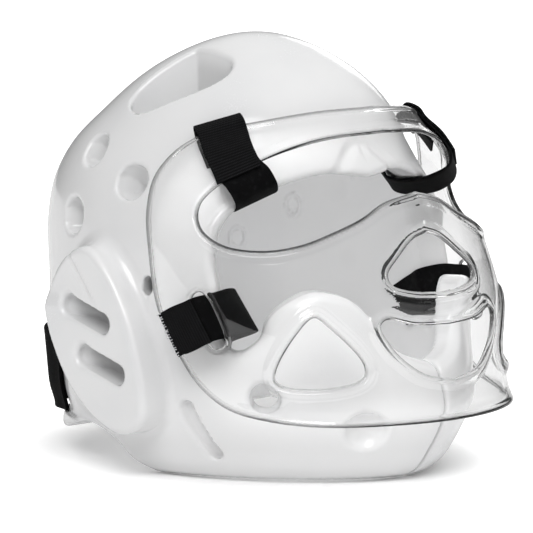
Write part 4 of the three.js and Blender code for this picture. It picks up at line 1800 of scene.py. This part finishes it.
    def fringe(self, low: Array, high: Array, frame: StrapFrame, mirrored: bool) -> bpy.types.Object:
        """Lays the row of white hook loops along a strap's cut end.

        Args:
            low: The low end of the row, in mm.
            high: The high end of the row, in mm.
            frame: The strap's directions.
            mirrored: Whether it is the left side's.

        Returns:
            The finished piece.
        """
        rng = random.Random(5)
        flip = Vector((-1.0 if mirrored else 1.0, 1.0, 1.0))
        bpy.ops.object.select_all(action="DESELECT")
        made = []
        for index in range(self.loops):
            share = (index + 0.5) / self.loops
            place = Vector(low) + (Vector(high) - Vector(low)) * share
            place = place + Vector(frame.along) * rng.uniform(0.2, 1.2)
            place = place + Vector((0.0, SET_BACK, 0.0)) + Vector(frame.outward) * rng.uniform(0.5, 1.0)
            place = place * flip * MM
            facing = (Vector(frame.across) + Vector(frame.outward) * rng.uniform(-0.5, 0.5)) * flip
            turn = facing.to_track_quat("Z", "Y").to_euler()
            size = rng.uniform(0.9, 1.3) * MM
            bpy.ops.mesh.primitive_torus_add(
                location=place,
                rotation=turn,
                major_radius=size,
                minor_radius=self.loop_thick * MM,
                major_segments=14,
                minor_segments=6,
            )
            made.append(bpy.context.active_object)
        for loop in made:
            loop.select_set(True)
        bpy.ops.object.join()
        piece = bpy.context.active_object
        bpy.ops.object.transform_apply(location=True, rotation=True, scale=True)
        bpy.ops.object.shade_smooth()
        piece.name = f"hook_fringe_{'left' if mirrored else 'right'}"
        piece.data.name = piece.name
        HookPile().make().dress(piece)
        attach(piece, "root")
        return piece


@dataclass
class NapeBand:
    """The elastic band that lies in the step behind the ear cups."""

    low: float = 27.5
    high: float = 76.5
    thickness: float = 2.2
    gap: float = 0.95
    slack: float = 4.4
    hang: float = 2.4
    end_y: float = 57.0
    length: float = 250.0
    pattern: float = 240.0

    def build(self) -> bpy.types.Object:
        """Lays the band round the nape.

        Returns:
            The finished piece.
        """
        piece, grid = cloth_grid("nape_band_webbing", steps=150, rows=12)
        grid = grid.astype(float)
        heights = self.low + (grid[:, 1] + 0.5) * (self.high - self.low)
        lay_cloth(piece, self.on_nape(grid[:, 0] * 2.0, heights), (grid[:, 0] + 0.5) * self.pattern, heights)
        Band(self.high - self.low, self.thickness).thicken(piece)
        BlackWebbing(Weave.SMOOTH).make().dress(piece)
        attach(piece, "root")
        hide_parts("nape_band")
        return piece

    def on_nape(self, shares: Array, heights: Array) -> Array:
        """The band's middle places.

        Args:
            shares: From -1 at the right end to 1 at the left end.
            heights: The heights, in mm.

        Returns:
            The places, one row each, in mm, in the row frame.
        """
        low, high = np.full(len(shares), 20.0), np.full(len(shares), 90.0)
        for _ in range(20):
            middle = (low + high) / 2.0
            behind = self.on_skin(middle, heights, np.ones(len(shares)))[:, 1] > self.end_y
            low, high = np.where(behind, middle, low), np.where(behind, high, middle)
        return self.on_skin(low * shares, heights, shares) + np.array([0.0, SET_BACK, 0.0])

    def on_skin(self, turns: Array, heights: Array, shares: Array) -> Array:
        """Places just off the helmet's skin, further off halfway round each side.

        Args:
            turns: Degrees from the back, towards the left.
            heights: The heights, in mm.
            shares: From -1 at the right end to 1 at the left end.

        Returns:
            The places, one row each, in mm.
        """
        angles = np.radians(turns)
        directions = np.stack([np.sin(angles), np.cos(angles), np.zeros(len(angles))], axis=1)
        starts = np.stack([np.zeros(len(angles)), np.full(len(angles), -10.0), heights], axis=1)
        away = np.abs(shares)
        low = self.hang * (self.high - heights) / (self.high - self.low)
        loose = (self.slack + low) * ease(away, 0.1, 0.6) * ease(-away, -1.0, -0.8)
        off = self.gap + self.thickness / 2.0 + loose
        return starts + directions * (HELMET.reaches(starts, directions) + off)[:, None]


# ---------------------------------------------------------------------------- studio


@dataclass
class Studio:
    """The pale floor, the soft lights and the camera.

    The floor glows by itself, less so for rays that the camera doesn't send, and fades round the object: a
    painted shadow.
    The sky brightens with height, and a flag dims it on one side.
    """

    target: tuple[float, float, float] = (0.0, 0.010, 0.135)
    azimuth: float = -45.0
    elevation: float = 5.8
    distance: float = 1.95
    lens: float = 217.3
    shift: tuple[float, float] = (0.0084, -0.0628)
    floor_size: float = 60.0
    floor_glow: float = 0.62
    painted_shadow_scale: tuple[float, float] = (7.2, 5.3)
    painted_shadow_edge: tuple[float, float] = (0.48, 1.2)
    painted_shadow_glow: float = 0.14
    unseen_share: float = 0.15
    sky_low: float = 0.1
    sky_high: float = 0.89
    sky_band: tuple[float, float] = (0.05, 0.6)
    flag: float = 0.75
    flag_side: tuple[float, float, float] = (-0.75, 0.66, 0.0)
    flag_band: tuple[float, float] = (-0.1, 0.8)

    @staticmethod
    def direction(azimuth: float, elevation: float) -> Vector:
        """The unit direction from the object towards a camera or a light.

        Args:
            azimuth: Degrees round from the front, towards the left side of the head.
            elevation: Degrees above the floor.

        Returns:
            The direction.
        """
        turn, lift = math.radians(azimuth), math.radians(elevation)
        return Vector((math.sin(turn) * math.cos(lift), -math.cos(turn) * math.cos(lift), math.sin(lift)))

    def camera(self) -> None:
        """Sets up the camera."""
        back = self.direction(self.azimuth, self.elevation)
        data = bpy.data.cameras.new("camera")
        data.lens, data.sensor_width = self.lens, 36.0
        data.shift_x, data.shift_y = self.shift
        data.clip_end = 100.0
        camera = bpy.data.objects.new("camera", data)
        bpy.context.collection.objects.link(camera)
        camera.location = Vector(self.target) + back * self.distance
        camera.rotation_euler = back.to_track_quat("Z", "Y").to_euler()
        bpy.context.scene.camera = camera

    def floor(self) -> None:
        """Lays the pale floor, with a painted shadow round the object."""
        bpy.ops.object.select_all(action="DESELECT")
        bpy.ops.mesh.primitive_plane_add(size=self.floor_size, location=(0.0, 0.0, 0.0))
        floor = bpy.context.active_object
        floor.name = "studio_floor"
        paint = Painter("pale_floor")
        grain = paint.noise(3.0, 2.0)
        source = paint.add("ShaderNodeTexCoord", {}, {})
        parts = paint.add("ShaderNodeSeparateXYZ", {}, {"Vector": source.outputs["Object"]})
        # the glow fades round the object: a painted shadow on the floor
        across = Reading(paint, parts.outputs[0]) * self.painted_shadow_scale[0]
        deep = (Reading(paint, parts.outputs[1]) - self.target[1]) * self.painted_shadow_scale[1]
        away = ((across * across + deep * deep) ** 0.5).held(*self.painted_shadow_edge)
        seen = paint.add("ShaderNodeLightPath", {}, {})
        lift = away * away * (3.0 - away * 2.0) * (1.0 - self.painted_shadow_glow) + self.painted_shadow_glow
        direct = Reading(paint, seen.outputs["Is Camera Ray"]) * (1.0 - self.unseen_share)
        glow = lift * (direct + self.unseen_share)
        paint.fill(
            Base_Color=paint.blend(grain, (0.93, 0.93, 0.93), (0.95, 0.95, 0.95)),
            Roughness=0.9,
            Specular_IOR_Level=0.0,
            Emission_Color=paint.blend(glow, (0.0, 0.0, 0.0), (1.0, 1.0, 1.0)),
            Emission_Strength=self.floor_glow,
        )
        paint.dress(floor)

    @staticmethod
    def lamp(name: str, kind: str, place: Vector, energy: float) -> bpy.types.Object:
        """Adds one light.

        Args:
            name: The light's name.
            kind: Its type.
            place: Where it is, in metres.
            energy: Its power in watts, or a sun's strength.

        Returns:
            The new light.
        """
        data = bpy.data.lights.new(name, kind)
        data.energy = energy
        lamp = bpy.data.objects.new(name, data)
        bpy.context.collection.objects.link(lamp)
        lamp.location = place
        return lamp

    def light(self, name: str, place: Vector, size: float, power: float) -> None:
        """Adds one soft square light that faces the object.

        Args:
            name: The light's name.
            place: Where it stands, in metres.
            size: Its edge length, in metres.
            power: Its power, in watts.
        """
        lamp = self.lamp(name, "AREA", place, power)
        lamp.data.shape = "SQUARE"
        lamp.data.size = size
        lamp.rotation_euler = (place - Vector((0.0, 0.0, 0.13))).to_track_quat("Z", "Y").to_euler()

    def glow(self, name: str, place: Vector, radius: float, power: float) -> None:
        """Adds one round soft light that is itself out of sight.

        Args:
            name: The light's name.
            place: Where it hangs, in metres.
            radius: Its radius, in metres.
            power: Its power, in watts.
        """
        lamp = self.lamp(name, "POINT", place, power)
        lamp.data.shadow_soft_size = radius
        lamp.visible_camera = False
        lamp.visible_glossy = False
        lamp.visible_transmission = False

    def sun(self, name: str, azimuth: float, elevation: float, spread: float, strength: float) -> None:
        """Adds one even light from a direction.

        Args:
            name: The light's name.
            azimuth: Degrees round from the front, towards the left side of the head.
            elevation: Degrees above the floor.
            spread: How wide it looks, in degrees.
            strength: Its strength.
        """
        towards = self.direction(azimuth, elevation)
        lamp = self.lamp(name, "SUN", towards * 3.0, strength)
        lamp.data.angle = math.radians(spread)
        lamp.rotation_euler = towards.to_track_quat("Z", "Y").to_euler()

    def sky(self) -> None:
        """Gives the soft light from all round, which is dimmer low down."""
        world = bpy.data.worlds.new("studio")
        bpy.context.scene.world = world
        world.use_nodes = True
        tree = world.node_tree
        source = tree.nodes.new("ShaderNodeTexCoord")
        parts = tree.nodes.new("ShaderNodeSeparateXYZ")
        spread = tree.nodes.new("ShaderNodeMapRange")
        spread.interpolation_type = "SMOOTHSTEP"
        spread.inputs["From Min"].default_value, spread.inputs["From Max"].default_value = self.sky_band
        spread.inputs["To Min"].default_value = self.sky_low
        spread.inputs["To Max"].default_value = self.sky_high
        side = tree.nodes.new("ShaderNodeVectorMath")
        side.operation = "DOT_PRODUCT"
        side.inputs[1].default_value = self.flag_side
        dim = tree.nodes.new("ShaderNodeMapRange")
        dim.interpolation_type = "SMOOTHSTEP"
        dim.inputs["From Min"].default_value, dim.inputs["From Max"].default_value = self.flag_band
        dim.inputs["To Min"].default_value = 1.0
        dim.inputs["To Max"].default_value = 1.0 - self.flag
        both = tree.nodes.new("ShaderNodeMath")
        both.operation = "MULTIPLY"
        background = tree.nodes["Background"]
        tree.links.new(source.outputs["Generated"], parts.inputs[0])
        tree.links.new(parts.outputs["Z"], spread.inputs["Value"])
        tree.links.new(source.outputs["Generated"], side.inputs[0])
        tree.links.new(side.outputs["Value"], dim.inputs["Value"])
        tree.links.new(spread.outputs[0], both.inputs[0])
        tree.links.new(dim.outputs[0], both.inputs[1])
        tree.links.new(both.outputs[0], background.inputs["Strength"])
        background.inputs["Color"].default_value = (1.0, 1.0, 1.0, 1.0)

    def build(self) -> None:
        """Sets up floor, lights and the way light becomes tone."""
        self.floor()
        self.sky()
        self.sun("key", azimuth=-57.0, elevation=44.0, spread=30.0, strength=1.2)
        self.light("edge", Vector((1.5, 0.9, 0.7)), size=0.5, power=1.2)
        self.glow("inner fill", Vector((0.0, 0.02, 0.12)), radius=0.03, power=0.075)
        view = bpy.context.scene.view_settings
        view.view_transform = "Standard"
        view.look = "None"
        view.exposure = 0.0
        view.gamma = 1.0


# ---------------------------------------------------------------------------- the whole


def main() -> None:
    """Builds the headgear and its studio."""
    logging.basicConfig(level=logging.INFO, format="%(message)s")
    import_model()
    studio = Studio()
    studio.camera()
    for part in (FoamHelmet(), FaceShield(), StrapSet(), NapeBand()):
        made = part.build()
        for piece in made if isinstance(made, list) else [made]:
            LOG.info("%s: %d faces", piece.name, len(piece.data.polygons))
    studio.build()


if __name__ == "__main__":
    main()
